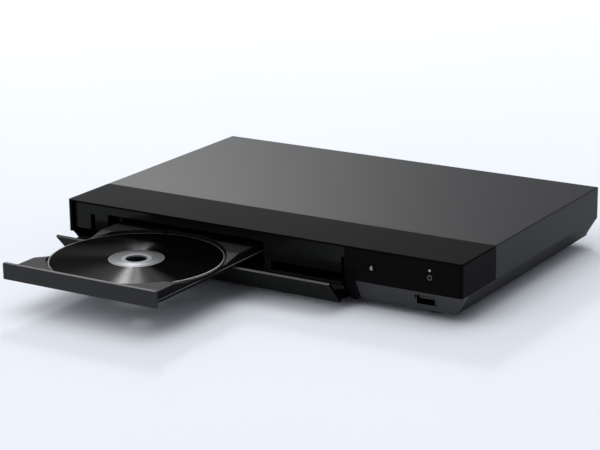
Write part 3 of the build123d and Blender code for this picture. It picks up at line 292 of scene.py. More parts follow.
def moulded(name, colour, roughness, specular=0.5, grain=0.5, relief=0.02, edge=0.25, mottle=0.12):
    """ABS from a mould: colour, roughness, grain size, grain depth and edge radius in mm."""
    finish, tree, place, shader = new_finish(name)
    base = linear(colour)
    patches, tone = mottled(
        tree, place, PATCH_SIZE, toned(base, 1 - mottle), toned(base, 1 + mottle)
    )
    gloss = add_node(
        tree, "MapRange",
        {"To Min": max(0.0, roughness - GLOSS_DRIFT), "To Max": roughness + GLOSS_DRIFT},
        {"Value": patches},
    )
    surface = grained(tree, place, grain, relief, edge)
    fill(
        shader, {"IOR": PLASTIC_IOR, "Specular IOR Level": specular},
        {"Base Color": tone, "Roughness": gloss, "Normal": surface},
    )
    return finish


# polished mould, black: the eye sees the room in it and hardly any colour
gloss_black = moulded(
    "gloss_moulded_black_abs", "#0b0b0b", 0.07, specular=0.012, grain=6, relief=0.002
)
give(gloss_black, "front_housing", "power_button", "eject_button")
# the same mould, less polished: the room is a blur in it
give(
    moulded("satin_moulded_black_abs", "#0f100e", 0.18, specular=0.12, grain=4, relief=0.004),
    "recess_panel",
)
# spark-eroded mould: a fine even grain that breaks up every reflection
give(
    moulded("grained_moulded_black_abs", "#19191b", 0.5, specular=0.07, grain=0.6, relief=0.03),
    "lower_case",
)
# a finer grain in a greyer plastic: a clear satin shine on the slope
give(moulded("fine_grained_grey_abs", "#212225", 0.42, specular=0.35), "lower_front_strip")
# the plainest grain, darkened as a painted shade for the place out of the light: hardly more than a
# dark shape
give(moulded("moulding_under_flap_painted_shade", "#0b0b0c", 0.5, specular=0.03), "flap_moulding")
# crisp edges and a satin face, which turns grey where it looks up
give(
    moulded("satin_moulded_tray_front_abs", "#1e1e20", 0.5, specular=0.24, grain=0.6, edge=0.08),
    "tray_front",
)
# unseen in use, so left as the mould gives it: dull, even and dark grey
give(moulded("grained_loader_abs", "#1d1d1f", 0.5), "loader_frame")

# %% [markdown]
# ## The flap
# The flap is the same black. Its long upper rim is painted a greyer tone: a painted highlight
# for the thin line of light that the rim catches. The rim is found by the way that it faces: the
# flap leans, so only its rim faces up and forward. The two ends are found in the same way. They
# face sideways, and are painted a deeper black: a painted shade for the housing's shade that they
# stand in. A Map Range node turns "faces that way" into a mask from 0 to 1.

# %% Flap with a painted highlight on its rim and painted shade on its ends


def way_it_faces(tree):
    """The outputs X, Y and Z of the way that each point of a surface faces."""
    facing = add_node(tree, "TexCoord")
    return add_node(tree, "SeparateXYZ", links={"Vector": facing.outputs["Normal"]}).outputs


flap_black, tree, place, shader = new_finish("smooth_moulded_flap_abs")
_, tone = mottled(tree, place, PATCH_SIZE, linear("#191a19"), linear("#1e1f1e"))
way = way_it_faces(tree)
faces_up = add_node(tree, "MapRange", {"From Min": 0.6, "From Max": 0.7}, {"Value": way["Z"]})
faces_forward = add_node(
    tree, "MapRange", {"From Min": -0.55, "From Max": -0.65}, {"Value": way["Y"]}
)
painted_highlight_rim = add_node(tree, "Math", links={0: faces_up, 1: faces_forward}, operation="MULTIPLY")
sideways = add_node(tree, "Math", links={0: way["X"]}, operation="ABSOLUTE")
painted_shade_ends = add_node(tree, "MapRange", {"From Min": 0.3, "From Max": 0.4}, {"Value": sideways})
# painted highlight along the rim, and painted shade on the ends
for code, mask in (("#545456", painted_highlight_rim), ("#050505", painted_shade_ends)):
    tone = add_node(tree, "Mix", {"B": linear(code)}, {"A": tone, "Factor": mask}, data_type="RGBA")
fill(
    shader, {"Roughness": 0.3, "IOR": PLASTIC_IOR, "Specular IOR Level": 0.005},
    {"Base Color": tone, "Normal": grained(tree, place, grain=5, relief=0.003)},
)
give(flap_black, "flap")

# %% [markdown]
# ## The tray
# The tray's mould is blasted to a satin, which shows on its corners and its top. Its upright
# walls are painted darker, a painted shade, and so is its top behind the disc, a painted shade
# for the slot that it stays in. The narrow rib low on each side is painted grey, a painted
# highlight for the light along it. Each of these places is found by the way that it faces and by
# where it is.

# %% Tray with painted shade on its walls and back, and a painted highlight on its ribs
WINGS_END = -47.5 * MM
WINGS_FADE = 0.5 * MM
RIB_BELOW = 27.0 * MM

tray_black, tree, place, shader = new_finish("satin_moulded_tray_abs")
_, tone = mottled(tree, place, PATCH_SIZE, linear("#262628"), linear("#2a2a2c"))
way = way_it_faces(tree)
spot = add_node(tree, "SeparateXYZ", links={"Vector": place}).outputs
level = add_node(tree, "Math", links={0: way["Z"]}, operation="ABSOLUTE")
painted_shade_walls = add_node(tree, "MapRange", {"From Min": 0.4, "From Max": 0.3}, {"Value": level})
faces_up = add_node(tree, "MapRange", {"From Min": 0.6, "From Max": 0.7}, {"Value": way["Z"]})
behind = add_node(
    tree, "MapRange",
    {"From Min": WINGS_END - WINGS_FADE, "From Max": WINGS_END + WINGS_FADE},
    {"Value": spot["Y"]},
)
painted_shade_in_slot = add_node(tree, "Math", links={0: faces_up, 1: behind}, operation="MULTIPLY")
low = add_node(tree, "Math", {1: RIB_BELOW}, {0: spot["Z"]}, operation="LESS_THAN")
painted_highlight_rib = add_node(tree, "Math", links={0: faces_up, 1: low}, operation="MULTIPLY")
# painted shade on the walls and in the slot, and a painted highlight on the ribs
for code, mask in (("#141415", painted_shade_walls), ("#070708", painted_shade_in_slot), ("#6a6a6c", painted_highlight_rib)):
    tone = add_node(tree, "Mix", {"B": linear(code)}, {"A": tone, "Factor": mask}, data_type="RGBA")
fill(
    shader, {"Roughness": 0.5, "IOR": PLASTIC_IOR, "Specular IOR Level": 0.035},
    {"Base Color": tone, "Normal": grained(tree, place, grain=0.6, relief=0.02, edge=0.25)},
)
give(tray_black, "tray")

# %% [markdown]
# ## Painted steel
# The top cover is folded steel sheet with a baked satin paint. The paint levels out, so its grain
# is much softer than that of plastic, and what shows is a wide, even sheen. The fold's own round
# is wide enough to catch the light, and a bevel node draws it.

# %% Painted top cover
PAINT_GRAIN = 0.7 * MM
PAINT_RELIEF = 0.012 * MM
FOLD_RADIUS = 0.9 * MM

satin_paint, tree, place, shader = new_finish("satin_paint_on_steel")
base = linear("#1e1e1f")
grain, tone = mottled(tree, place, PAINT_GRAIN, toned(base, 0.93), toned(base, 1.07))
rounding = add_node(tree, "Bevel", {"Radius": FOLD_RADIUS}, samples=4)
surface = add_node(tree, "Bump", {"Distance": PAINT_RELIEF}, {"Height": grain, "Normal": rounding})
fill(
    shader, {"Roughness": 0.42, "IOR": PLASTIC_IOR, "Specular IOR Level": 0.11},
    {"Base Color": tone, "Normal": surface},
)
give(satin_paint, "top_cover")

# %% [markdown]
# ## The other finishes
# What sits inside or at the back gets the finish of its kind as well. Bare metal is never quite
# even: rolling, turning or drawing leaves fine streaks, which are noise stretched along one way.

# %% Metals


def bare_metal(name, colour, roughness, streak, stretch):
    """Bare metal: colour, roughness, size of its streaks in mm, and the way they are stretched."""
    finish, tree, place, shader = new_finish(name)
    base = linear(colour)
    along = add_node(tree, "Mapping", {"Scale": stretch}, {"Vector": place})
    lines, tone = mottled(tree, along, streak * MM, toned(base, 0.85), base)
    gloss = add_node(
        tree, "MapRange", {"To Min": roughness * 0.8, "To Max": roughness * 1.2}, {"Value": lines}
    )
    fill(shader, {"Metallic": 1.0}, {"Base Color": tone, "Roughness": gloss})
    return finish


EVEN = (1, 1, 1)
LENGTHWISE = (1, 0.2, 1)
# pressed from mill sheet: a soft, even grey shine
give(bare_metal("stamped_steel_sheet", "#9fa1a3", 0.38, 1.5, EVEN), "clamp_bridge")
# folded and plated: bright and a little warm, with lines from front to back
give(bare_metal("nickel_plated_shell", "#b9b8b4", 0.25, 0.5, LENGTHWISE),
     "usb_socket", "hdmi_socket_1", "hdmi_socket_2", "lan_socket")
# pulled through a die: satin silver with long straight lines
give(bare_metal("extruded_aluminium", "#a9abad", 0.35, 0.5, (1, 0.1, 1)), "heat_sink")
# deep-drawn: streaks that run up the wall of the can
give(bare_metal("drawn_steel_can", "#a3a4a6", 0.3, 0.4, (1, 1, 0.1)),
     "loading_motor", "spindle_motor", "sled_motor", "clamp_magnet")
# ground between wheels: nearly a mirror
give(bare_metal("ground_steel_rod", "#c3c4c6", 0.12, 0.3, EVEN), "guide_rods", "lead_screw")
# turned from bar: yellow, with fine streaks
give(bare_metal("turned_brass", "#b8924a", 0.28, 0.3, (1, 1, 0.3)), "motor_pulley")
# die-cast: dull and a little cloudy
give(bare_metal("cast_zinc", "#8e8f92", 0.5, 0.8, EVEN), "pickup_sled")
# barrel-plated: pale, cool and satin
zinc = bare_metal("zinc_plated_screw", "#adaeb0", 0.32, 0.3, EVEN)
give(zinc, "board_screws", "loader_screws", "rear_screws")

# %% [markdown]
# The rear panel is galvanised sheet. Zinc that sets on hot steel grows flat crystals a few
# millimetres wide, and each one mirrors the room a little differently. A Voronoi texture gives
# every crystal its own grey and its own gloss.

# %% Galvanised rear panel
CRYSTAL_SIZE = 5 * MM
CRYSTAL_RAGGED = 2 * MM
RAGGED_OVER = 2.5 * MM
PANEL_EDGE = 0.3 * MM

galvanised, tree, place, shader = new_finish("galvanised_steel_sheet")
ragged = add_node(tree, "TexNoise", {"Scale": 1 / RAGGED_OVER, "Detail": 3.0}, {"Vector": place})
shifted = add_node(
    tree, "VectorMath", {1: (CRYSTAL_RAGGED, CRYSTAL_RAGGED, CRYSTAL_RAGGED)},
    {0: ragged.outputs["Color"], 2: place}, operation="MULTIPLY_ADD",
)
crystals = add_node(tree, "TexVoronoi", {"Scale": 1 / CRYSTAL_SIZE}, {"Vector": shifted})
own_grey = add_node(tree, "SeparateColor", links={"Color": crystals.outputs["Color"]}).outputs
tone = add_node(
    tree, "Mix", {"A": linear("#8c8e91"), "B": linear("#a9abad")}, {"Factor": own_grey["Red"]},
    data_type="RGBA",
)
gloss = add_node(tree, "MapRange", {"To Min": 0.34, "To Max": 0.46}, {"Value": own_grey["Green"]})
rounding = add_node(tree, "Bevel", {"Radius": PANEL_EDGE}, samples=4)
fill(shader, {"Metallic": 1.0}, {"Base Color": tone, "Roughness": gloss, "Normal": rounding})
give(galvanised, "rear_panel")

# %% Other plastics, rubber and boards
# undyed nylon: milky, with a soft waxy shine
give(moulded("natural_gear_nylon", "#d8d5c8", 0.4, grain=0.8),
     "drive_gear", "pulley_gear", "lift_cam")
# black nylon that stands the heat of the mains: dull and even
give(moulded("black_inlet_nylon", "#161616", 0.45), "mains_inlet")
# blasted mould: a dull black that keeps stray light from the lens
give(moulded("black_turntable_abs", "#141415", 0.5), "turntable", "clamp_puck", "traverse_frame")
# polyester tape, wound tight: yellow and smooth
give(moulded("transformer_tape", "#b9952f", 0.35), "transformer")
# shrunk vinyl sleeve: dark blue and slick
give(moulded("capacitor_sleeve", "#1d2a4c", 0.3), "mains_capacitor", "output_capacitors")
# thin laminated film: pale and flat, with a clear shine
give(moulded("polyester_cable_film", "#dfe1e4", 0.25, grain=3), "flat_cable")
# lacquer over copper tracks: glossy green, lighter and darker in patches
give(moulded("green_board_lacquer", "#145233", 0.3, grain=1.2, mottle=0.3),
     "front_board", "usb_board", "main_board", "power_board")
# polished acrylic over a dark hollow: a cool grey gleam
give(moulded("clear_acrylic_lens", "#8d9299", 0.1, grain=3), "lamp_lens", "pickup_lens")

# %% [markdown]
# The audio jack is one solid here, but three parts on the real object: a nickel-plated collar, the
# orange insulator in it and a black block behind the panel. The distance from the jack's axis
# tells collar and insulator apart, and sets colour, gloss and metal together. The block is out of
# sight, so it shares the collar's finish.

# %% Audio jack
JACK_X = 134.0 * MM
JACK_Z = 21.4 * MM
COLLAR_INSIDE = 4.0 * MM
HANDLED_PATCH = 0.8 * MM

jack, tree, place, shader = new_finish("plated_audio_jack")
centred = add_node(
    tree, "Mapping", {"Location": (-JACK_X, 0, -JACK_Z), "Scale": (1, 0, 1)}, {"Vector": place}
)
off_axis = add_node(tree, "VectorMath", links={0: centred}, operation="LENGTH")
in_collar = add_node(tree, "Math", {1: COLLAR_INSIDE}, {0: off_axis}, operation="GREATER_THAN")
handling, orange = mottled(tree, place, HANDLED_PATCH, linear("#b9591a"), linear("#c96a22"))
tone = add_node(
    tree, "Mix", {"B": linear("#b5b4b0")}, {"A": orange, "Factor": in_collar}, data_type="RGBA"
)
gloss = add_node(tree, "MapRange", {"To Min": 0.25, "To Max": 0.4}, {"Value": handling})
fill(shader, links={"Base Color": tone, "Roughness": gloss, "Metallic": in_collar})
give(jack, "coax_jack")

# %% [markdown]
# ## Pieces that are modelled again
# Some solids of the CAD model hold their real size but not the detail that the eye looks for up
# close. Those are modelled here by hand: a primitive is added at the solid's own size and place,
# and then inset, extruded and bevelled in edit mode. The faces and edges to work on are picked in
# code, by where they are. The sizes come from the solid's box, so each piece fits its solid.

# %% Helpers for modelling
HAIR = 0.1 * MM
TOWARDS_FRONT = (math.radians(90), 0, 0)
SMOOTH_UNDER = math.radians(30)


def select_only(*pieces):
    """Selects some pieces and nothing else, and makes the first of them the active one."""
    bpy.ops.object.select_all(action="DESELECT")
    for piece in pieces:
        piece.select_set(True)
    if pieces:
        bpy.context.view_layer.objects.active = pieces[0]


def start_piece(name):
    """Names the primitive that was just added, and moves its place and turn into its mesh."""
    piece = bpy.context.object
    piece.name = name
    piece.data.name = name
    bpy.ops.object.transform_apply(location=True, rotation=True, scale=True)
    return piece


def block(name, low, high):
    """A block between two corners, to start a piece from."""
    low, high = Vector(low), Vector(high)
    select_only()
    bpy.ops.mesh.primitive_cube_add(size=1, location=(low + high) / 2)
    bpy.context.object.scale = high - low
    return start_piece(name)


def cylinder(name, vertices, radius, depth, middle, rotation=(0, 0, 0)):
    """A cylinder round a middle, to start a piece from."""
    select_only()
    bpy.ops.mesh.primitive_cylinder_add(
        vertices=vertices, radius=radius, depth=depth, location=middle, rotation=rotation
    )
    return start_piece(name)


def edit(piece):
    """Makes one piece the only one selected, and opens it in edit mode."""
    select_only(piece)
    bpy.ops.object.mode_set(mode="EDIT")


def pick(piece, kind, test):
    """In edit mode, selects the faces or edges that pass a test, and no others."""
    bpy.ops.mesh.select_mode(type=kind)
    bpy.ops.mesh.select_all(action="DESELECT")
    shape = bmesh.from_edit_mesh(piece.data)
    for part in shape.faces if kind == "FACE" else shape.edges:
        if test(part):
            part.select_set(True)
    bmesh.update_edit_mesh(piece.data)


def pick_faces(piece, test):
    """Selects the faces whose middle and normal pass a test."""
    pick(piece, "FACE", lambda face: test(face.calc_center_median(), face.normal))


def pick_edges(piece, test):
    """Selects the edges whose two ends pass a test."""
    pick(piece, "EDGE", lambda edge: test(edge.verts[0].co, edge.verts[1].co))


def bevel_edges(piece, offset, segments, test):
    """In edit mode, rounds the edges whose two ends pass a test."""
    pick_edges(piece, test)
    bpy.ops.mesh.bevel(offset=offset, segments=segments)


def extrude(x=0, y=0, z=0):
    """In edit mode, extrudes what is selected and moves it along the axes."""
    bpy.ops.mesh.extrude_region_move(TRANSFORM_OT_translate={"value": (x, y, z)})


def leave_edit():
    """Closes edit mode and shades smoothly over every edge that isn't sharp."""
    bpy.ops.object.mode_set(mode="OBJECT")
    bpy.ops.object.shade_smooth_by_angle(angle=SMOOTH_UNDER)


def face_outwards():
    """In edit mode, selects everything and turns each face outwards."""
    bpy.ops.mesh.select_all(action="SELECT")
    bpy.ops.mesh.normals_make_consistent(inside=False)


def corners(node):
    """The lowest corner, the highest corner and the middle of a solid."""
    low, high = (Vector(corner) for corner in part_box(node))
    return low, high, (low + high) / 2


def copy_to(piece, move, name):
    """A copy of a finished piece with its own mesh, moved by a distance."""
    select_only(piece)
    bpy.ops.object.duplicate()
    copy = bpy.context.object
    copy.location = move
    bpy.ops.object.transform_apply(location=True, rotation=True, scale=True)
    copy.name = name
    return copy


def copies(piece, steps, up=0):
    """Copies of a piece at several steps to the right of it, and moved up by a height."""
    return [copy_to(piece, (step, 0, up), piece.name) for step in steps]


def join_row(name, pieces):
    """Joins the copies of a row to one piece."""
    select_only(*pieces)
    bpy.ops.object.join()
    pieces[0].name = name
    pieces[0].data.name = name
    return pieces[0]


# %% [markdown]
# ## Seams of the front housing
# On the real object the plate right of the flap and the right cheek are set into the housing, with
# a hair-wide gap round them that reads as a thin dark line. The solid has no such gap. A seam can
# be cut with a Boolean modifier: a thin bar is laid along the line and taken away from a copy of
# the solid's mesh. The copy is merged first, because its triangles don't share their corners.

# %% Cut the seams
SEAM_WIDTH = 0.6 * MM
SEAM_DEPTH = 0.8 * MM
SEAM_BELOW_TOP = 0.6 * MM
SEAM_FROM_SIDE = 1.4 * MM
OPENING_RIGHT = 71.6 * MM
MERGED_WITHIN = 0.001 * MM

housing_low, housing_high, _ = corners("front_housing")
front_shell = bpy.data.objects.new("front_shell", nodes["front_housing"].data.copy())
bpy.context.scene.collection.objects.link(front_shell)
edit(front_shell)
bpy.ops.mesh.select_all(action="SELECT")
bpy.ops.mesh.remove_doubles(threshold=MERGED_WITHIN)
bpy.ops.object.mode_set(mode="OBJECT")
bpy.ops.mesh.customdata_custom_splitnormals_clear()
seam_top = housing_high.z - SEAM_BELOW_TOP
seam_right = housing_high.x - SEAM_FROM_SIDE
front = housing_low.y
seams = {
    "over_plate": (
        (OPENING_RIGHT, front - SEAM_DEPTH, seam_top - SEAM_WIDTH),
        (seam_right, front + SEAM_DEPTH, seam_top),
    ),
    "beside_plate": (
        (seam_right - SEAM_WIDTH, front - SEAM_DEPTH, housing_low.z - SEAM_DEPTH),
        (seam_right, front + SEAM_DEPTH, seam_top - SEAM_WIDTH / 2),
    ),
    "over_cheek": (
        (housing_high.x - SEAM_DEPTH, front + SEAM_FROM_SIDE, seam_top - SEAM_WIDTH),
        (housing_high.x + SEAM_DEPTH, housing_high.y - SEAM_FROM_SIDE, seam_top),
    ),
}
for name, (low, high) in seams.items():
    bar = block(name, low, high)
    select_only(front_shell)
    cut = front_shell.modifiers.new("seam", "BOOLEAN")
    cut.operation = "DIFFERENCE"
    cut.solver = "EXACT"
    cut.object = bar
    bpy.ops.object.modifier_apply(modifier="seam")
    bpy.data.objects.remove(bar)
bpy.ops.object.shade_smooth_by_angle(angle=SMOOTH_UNDER)
# large flat faces keep their own normal, so that the small ones beside them don't bend the gloss
front_shell.modifiers.new("flatness", "WEIGHTED_NORMAL").keep_sharp = True
bpy.ops.object.modifier_apply(modifier="flatness")
give(gloss_black, "front_shell")
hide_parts("front_housing")
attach(front_shell, "cabinet")
print("front shell:", len(front_shell.data.polygons), "faces")

# %% [markdown]
# ## The disc
# A disc is 1.2 mm of clear plastic. Its edge stays clear, the label's dark lacquer covers it from
# near the edge to the hub, and the hub is silvered. A thin ring stands up around the hub so that
# stacked discs don't touch. A flat cylinder is enough to start from: its top face is inset once
# for every ring that the eye can tell apart, and the hole is made by joining top and bottom.

# %% Model the disc
disc_low, disc_high, disc_middle = corners("disc")
DISC_RADIUS = (disc_high.x - disc_low.x) / 2
DISC_THICKNESS = 1.2 * MM
EDGE_ROUND = 0.3 * MM
CLEAR_EDGE = 59.0 * MM
SILVER_HUB = 19.2 * MM
STACKING_RING_OUTSIDE = 17.6 * MM
STACKING_RING_INSIDE = 17.0 * MM
HUB_CLEAR = 10.5 * MM
DISC_HOLE = 7.5 * MM
DATA_OUTSIDE = 58.5 * MM
DATA_INSIDE = 22.0 * MM
TOP_RINGS = (
    CLEAR_EDGE, SILVER_HUB, STACKING_RING_OUTSIDE, STACKING_RING_INSIDE, HUB_CLEAR, DISC_HOLE
)


def from_disc_axis(point):
    return math.hypot(point.x - disc_middle.x, point.y - disc_middle.y)


def inset_rings(radii):
    """Insets the selected round face once for every radius, and opens it inside the last."""
    radius = DISC_RADIUS - EDGE_ROUND
    for next_radius in radii:
        bpy.ops.mesh.inset(thickness=radius - next_radius)
        radius = next_radius
    bpy.ops.mesh.delete(type="FACE")


disc = cylinder(
    "printed_disc", 192, DISC_RADIUS, DISC_THICKNESS,
    (disc_middle.x, disc_middle.y, disc_low.z + DISC_THICKNESS / 2),
)
edit(disc)
bevel_edges(disc, EDGE_ROUND, 3, lambda a, b: abs(a.z - b.z) < EDGE_ROUND)
pick_faces(disc, lambda middle, normal: normal.z > 0.99)
inset_rings(TOP_RINGS)
pick_faces(disc, lambda middle, normal: normal.z < -0.99)
inset_rings((DATA_OUTSIDE, DATA_INSIDE, DISC_HOLE))
pick_edges(
    disc,
    lambda a, b: max(from_disc_axis(a), from_disc_axis(b)) < DISC_HOLE + HAIR
    and abs(a.z - b.z) < HAIR,
)
bpy.ops.mesh.bridge_edge_loops()
pick_faces(
    disc,
    lambda middle, normal: normal.z > 0.99
    and STACKING_RING_INSIDE < from_disc_axis(middle) < STACKING_RING_OUTSIDE,
)
extrude(z=disc_high.z - disc_low.z - DISC_THICKNESS)
face_outwards()
leave_edit()
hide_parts("disc")
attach(disc, "disc")
print("disc:", len(disc.data.polygons), "faces, radius", round(DISC_RADIUS / MM, 1), "mm")

# %% [markdown]
# ## The disc's finishes
# The lacquer and the silver both lie on a disc that was spun while they were laid on, so they keep
# a faint grain that runs round the axis. A light that falls on such a grain is drawn out into
# fans that meet at the hub. The shader does this by itself when it is told that the surface is
# anisotropic, and that its grain runs round the Z axis.

# %% Finishes of the disc
DISC_AXIS = (-disc_middle.x, -disc_middle.y, 0)
RING_PITCH = 4 * MM


def spun(name, colour, roughness, anisotropy, edge_tint):
    """A surface with a faint grain round the disc's axis, which draws light out into fans."""
    finish, tree, place, shader = new_finish(name)
    base = linear(colour)
    centred = add_node(tree, "Mapping", {"Location": DISC_AXIS}, {"Vector": place})
    rings = add_node(
        tree, "TexWave",
        {"Scale": 1 / RING_PITCH, "Distortion": 0.6, "Detail": 3.0, "Detail Scale": 2.0},
        {"Vector": centred}, wave_type="RINGS", rings_direction="Z",
    ).outputs["Fac"]
    tone = add_node(
        tree, "Mix", {"A": toned(base, 0.94), "B": toned(base, 1.06)}, {"Factor": rings},
        data_type="RGBA",
    )
    gloss = add_node(
        tree, "MapRange", {"To Min": roughness * 0.95, "To Max": roughness * 1.05},
        {"Value": rings},
    )
    round_axis = add_node(tree, "Tangent", direction_type="RADIAL", axis="Z")
    fill(
        shader,
        {
            "Metallic": 1.0, "Anisotropic": anisotropy, "Anisotropic Rotation": 0.25,
            "Specular Tint": (edge_tint, edge_tint, edge_tint, 1),
        },
        {"Base Color": tone, "Roughness": gloss, "Tangent": round_axis},
    )
    return finish


disc_finishes = {
    # bare plastic at the rim: the light in it makes a thin grey line
    "clear_edge": moulded(
        "clear_polycarbonate_edge", "#5a5b5d", 0.2, specular=0.3, grain=2, relief=0.002
    ),
    # spun lacquer: a dark mirror with long, sharp fans
    "label": spun("dark_label_lacquer", "#4d4d4d", 0.17, 1.0, 0.3),
    # the silver layer under clear lacquer: paler, with short soft fans
    "hub": spun("silvered_hub", "#8b8c8e", 0.36, 0.6, 0.13),
    # clear plastic round the hole: dark, because the tray shows through
    "hub_window": moulded(
        "clear_polycarbonate_hub", "#48494b", 0.25, specular=0.15, grain=2, relief=0.002
    ),
    # fine tracks under clear plastic: a violet-grey mirror
    "data_side": spun("data_side_under_polycarbonate", "#5b5668", 0.12, 0.8, 1.0),
}
slots = list(disc_finishes)
for finish in disc_finishes.values():
    disc.data.materials.append(finish)
for face in disc.data.polygons:
    out = from_disc_axis(face.center)
    if face.normal.z < -0.99 and DATA_INSIDE < out < DATA_OUTSIDE:
        kind = "data_side"
    elif out < HUB_CLEAR:
        kind = "hub_window"
    elif out > CLEAR_EDGE or face.normal.z < 0.5:
        kind = "clear_edge"
    elif out > SILVER_HUB:
        kind = "label"
    else:
        kind = "hub"
    face.material_index = slots.index(kind)
print("disc slots:", slots)

# %% [markdown]
# ## Painted shade on the disc
# The disc isn't one even grey. A painted shade in matt black covers a wedge of the label and
# comes in from the back, and the hub's silver is painted darker towards the back too, as painted
# shade. A Mix Shader lays matt black over each surface's own shader, where a mask asks for it. The
# label has two masks: one from the bearing round the disc's axis, and one from the distance
# towards the back. The hub has the second alone.

# %% Lay painted shade over the disc's finishes
WEDGE_MIDDLE = math.radians(39)
WEDGE_INSIDE = math.radians(62)
WEDGE_OUTSIDE = math.radians(78)
LABEL_SHADE_BEARING = math.radians(122)
HUB_SHADE_BEARING = math.radians(104)
LABEL_SHADE_STARTS = 8 * MM
LABEL_SHADE_FULL = 38 * MM
HUB_SHADE_STARTS = -15 * MM
HUB_SHADE_FULL = 18 * MM
BARE_OF_WEDGE = 0.05
BARE_OF_BACK = 0.08


def from_disc_axis_in(tree):
    """Object coordinates that start at the disc's axis and lie in its plane."""
    place = add_node(tree, "TexCoord").outputs["Object"]
    return add_node(tree, "Mapping", {"Location": DISC_AXIS, "Scale": (1, 1, 0)}, {"Vector": place})


def bare_of_back(tree, centred, bearing, starts, full):
    """A mask that falls from 1 to nearly 0 on the way to the disc's back."""
    towards_back = add_node(
        tree, "VectorMath", {1: (math.cos(bearing), math.sin(bearing), 0)}, {0: centred},
        operation="DOT_PRODUCT",
    )
    return add_node(
        tree, "MapRange",
        {"From Min": starts, "From Max": full, "To Min": 1.0, "To Max": BARE_OF_BACK},
        {"Value": towards_back},
    )


def lay_black(tree, bare):
    """Lays matt black painted shade over a finish's own shader, where the mask is low."""
    own = next(made for made in tree.nodes if made.bl_idname == "ShaderNodeBsdfPrincipled")
    output = next(made for made in tree.nodes if made.bl_idname == "ShaderNodeOutputMaterial")
    black = add_node(
        tree, "BsdfPrincipled",
        {"Base Color": linear("#040404"), "Roughness": 0.8, "Specular IOR Level": 0.0},
    )
    laid = add_node(tree, "MixShader", links={0: bare, 1: black, 2: own})
    tree.links.new(laid.outputs["Shader"], output.inputs["Surface"])


# painted shade: a black wedge and a black back laid over the label
tree = disc_finishes["label"].node_tree
centred = from_disc_axis_in(tree)
outwards = add_node(tree, "VectorMath", links={0: centred}, operation="NORMALIZE")
in_wedge = add_node(
    tree, "VectorMath", {1: (math.cos(WEDGE_MIDDLE), math.sin(WEDGE_MIDDLE), 0)}, {0: outwards},
    operation="DOT_PRODUCT",
)
bare_of_wedge = add_node(
    tree, "MapRange",
    {
        "From Min": math.cos(WEDGE_OUTSIDE), "From Max": math.cos(WEDGE_INSIDE),
        "To Min": 1.0, "To Max": BARE_OF_WEDGE,
    },
    {"Value": in_wedge}, interpolation_type="SMOOTHSTEP",
)
on_back = bare_of_back(tree, centred, LABEL_SHADE_BEARING, LABEL_SHADE_STARTS, LABEL_SHADE_FULL)
bare = add_node(tree, "Math", links={0: bare_of_wedge, 1: on_back}, operation="MULTIPLY")
lay_black(tree, bare)
# painted shade: black laid over the hub's silver towards the back
tree = disc_finishes["hub"].node_tree
centred = from_disc_axis_in(tree)
lay_black(tree, bare_of_back(tree, centred, HUB_SHADE_BEARING, HUB_SHADE_STARTS, HUB_SHADE_FULL))
print("painted shade laid over", disc_finishes["label"].name, "and", disc_finishes["hub"].name)

# %% [markdown]
# ## Marks on the two buttons
# The buttons carry the usual signs for power and eject, printed in light grey ink. A sign is a
# flat shape that is filled in, cut to its outline, and given the thickness of a layer of ink by a
# Solidify modifier.

# %% Model the marks
INK_THICKNESS = 0.04 * MM
POWER_RING = 1.75 * MM
POWER_LINE = 0.42 * MM
POWER_GAP = 0.62 * MM
POWER_BAR_LENGTH = 1.7 * MM
POWER_BAR_UP = 1.15 * MM
EJECT_TRIANGLE = 1.3 * MM
EJECT_TRIANGLE_UP = 0.35 * MM
EJECT_BAR = (2.25 * MM, 0.65 * MM)
EJECT_BAR_UP = -1.1 * MM


def button_face(node):
    """The middle of a button's front face."""
    low, _, middle = corners(node)
    return Vector((middle.x, low.y, middle.z))


def flat_shape(name, sides, radius, middle, up=0):
    """A flat filled shape with equal sides, which faces the front."""
    select_only()
    bpy.ops.mesh.primitive_circle_add(
        vertices=sides, radius=radius, fill_type="NGON", location=middle + Vector((0, 0, up)),
        rotation=TOWARDS_FRONT,
    )
    return start_piece(name)


def flat_bar(name, width, height, middle, up):
    """A flat bar that faces the front."""
    select_only()
    bpy.ops.mesh.primitive_plane_add(
        size=1, location=middle + Vector((0, 0, up)), rotation=TOWARDS_FRONT
    )
    bpy.context.object.scale = (width, height, 1)
    return start_piece(name)


def join_as_ink(name, parts, body):
    """Joins flat parts to one piece, gives it the thickness of ink and lets it ride."""
    mark = join_row(name, parts)
    ink = mark.modifiers.new("ink", "SOLIDIFY")
    ink.thickness = INK_THICKNESS
    ink.offset = 1.0
    bpy.ops.object.modifier_apply(modifier="ink")
    bpy.ops.object.shade_smooth_by_angle(angle=SMOOTH_UNDER)
    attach(mark, body)


power_face = button_face("power_button")
power_ring = flat_shape("power_ring", 64, POWER_RING, power_face)
edit(power_ring)
bpy.ops.mesh.select_all(action="SELECT")
bpy.ops.mesh.inset(thickness=POWER_LINE)
bpy.ops.mesh.delete(type="FACE")
pick_faces(
    power_ring,
    lambda middle, normal: middle.z > power_face.z and abs(middle.x - power_face.x) < POWER_GAP,
)
bpy.ops.mesh.delete(type="FACE")
bpy.ops.object.mode_set(mode="OBJECT")
power_bar = flat_bar("power_bar", POWER_LINE, POWER_BAR_LENGTH, power_face, POWER_BAR_UP)
join_as_ink("power_mark", [power_ring, power_bar], "power_button")

eject_face = button_face("eject_button")
triangle = flat_shape("eject_triangle", 3, EJECT_TRIANGLE, eject_face, EJECT_TRIANGLE_UP)
eject_bar = flat_bar("eject_bar", *EJECT_BAR, eject_face, EJECT_BAR_UP)
join_as_ink("eject_mark", [triangle, eject_bar], "eject_button")
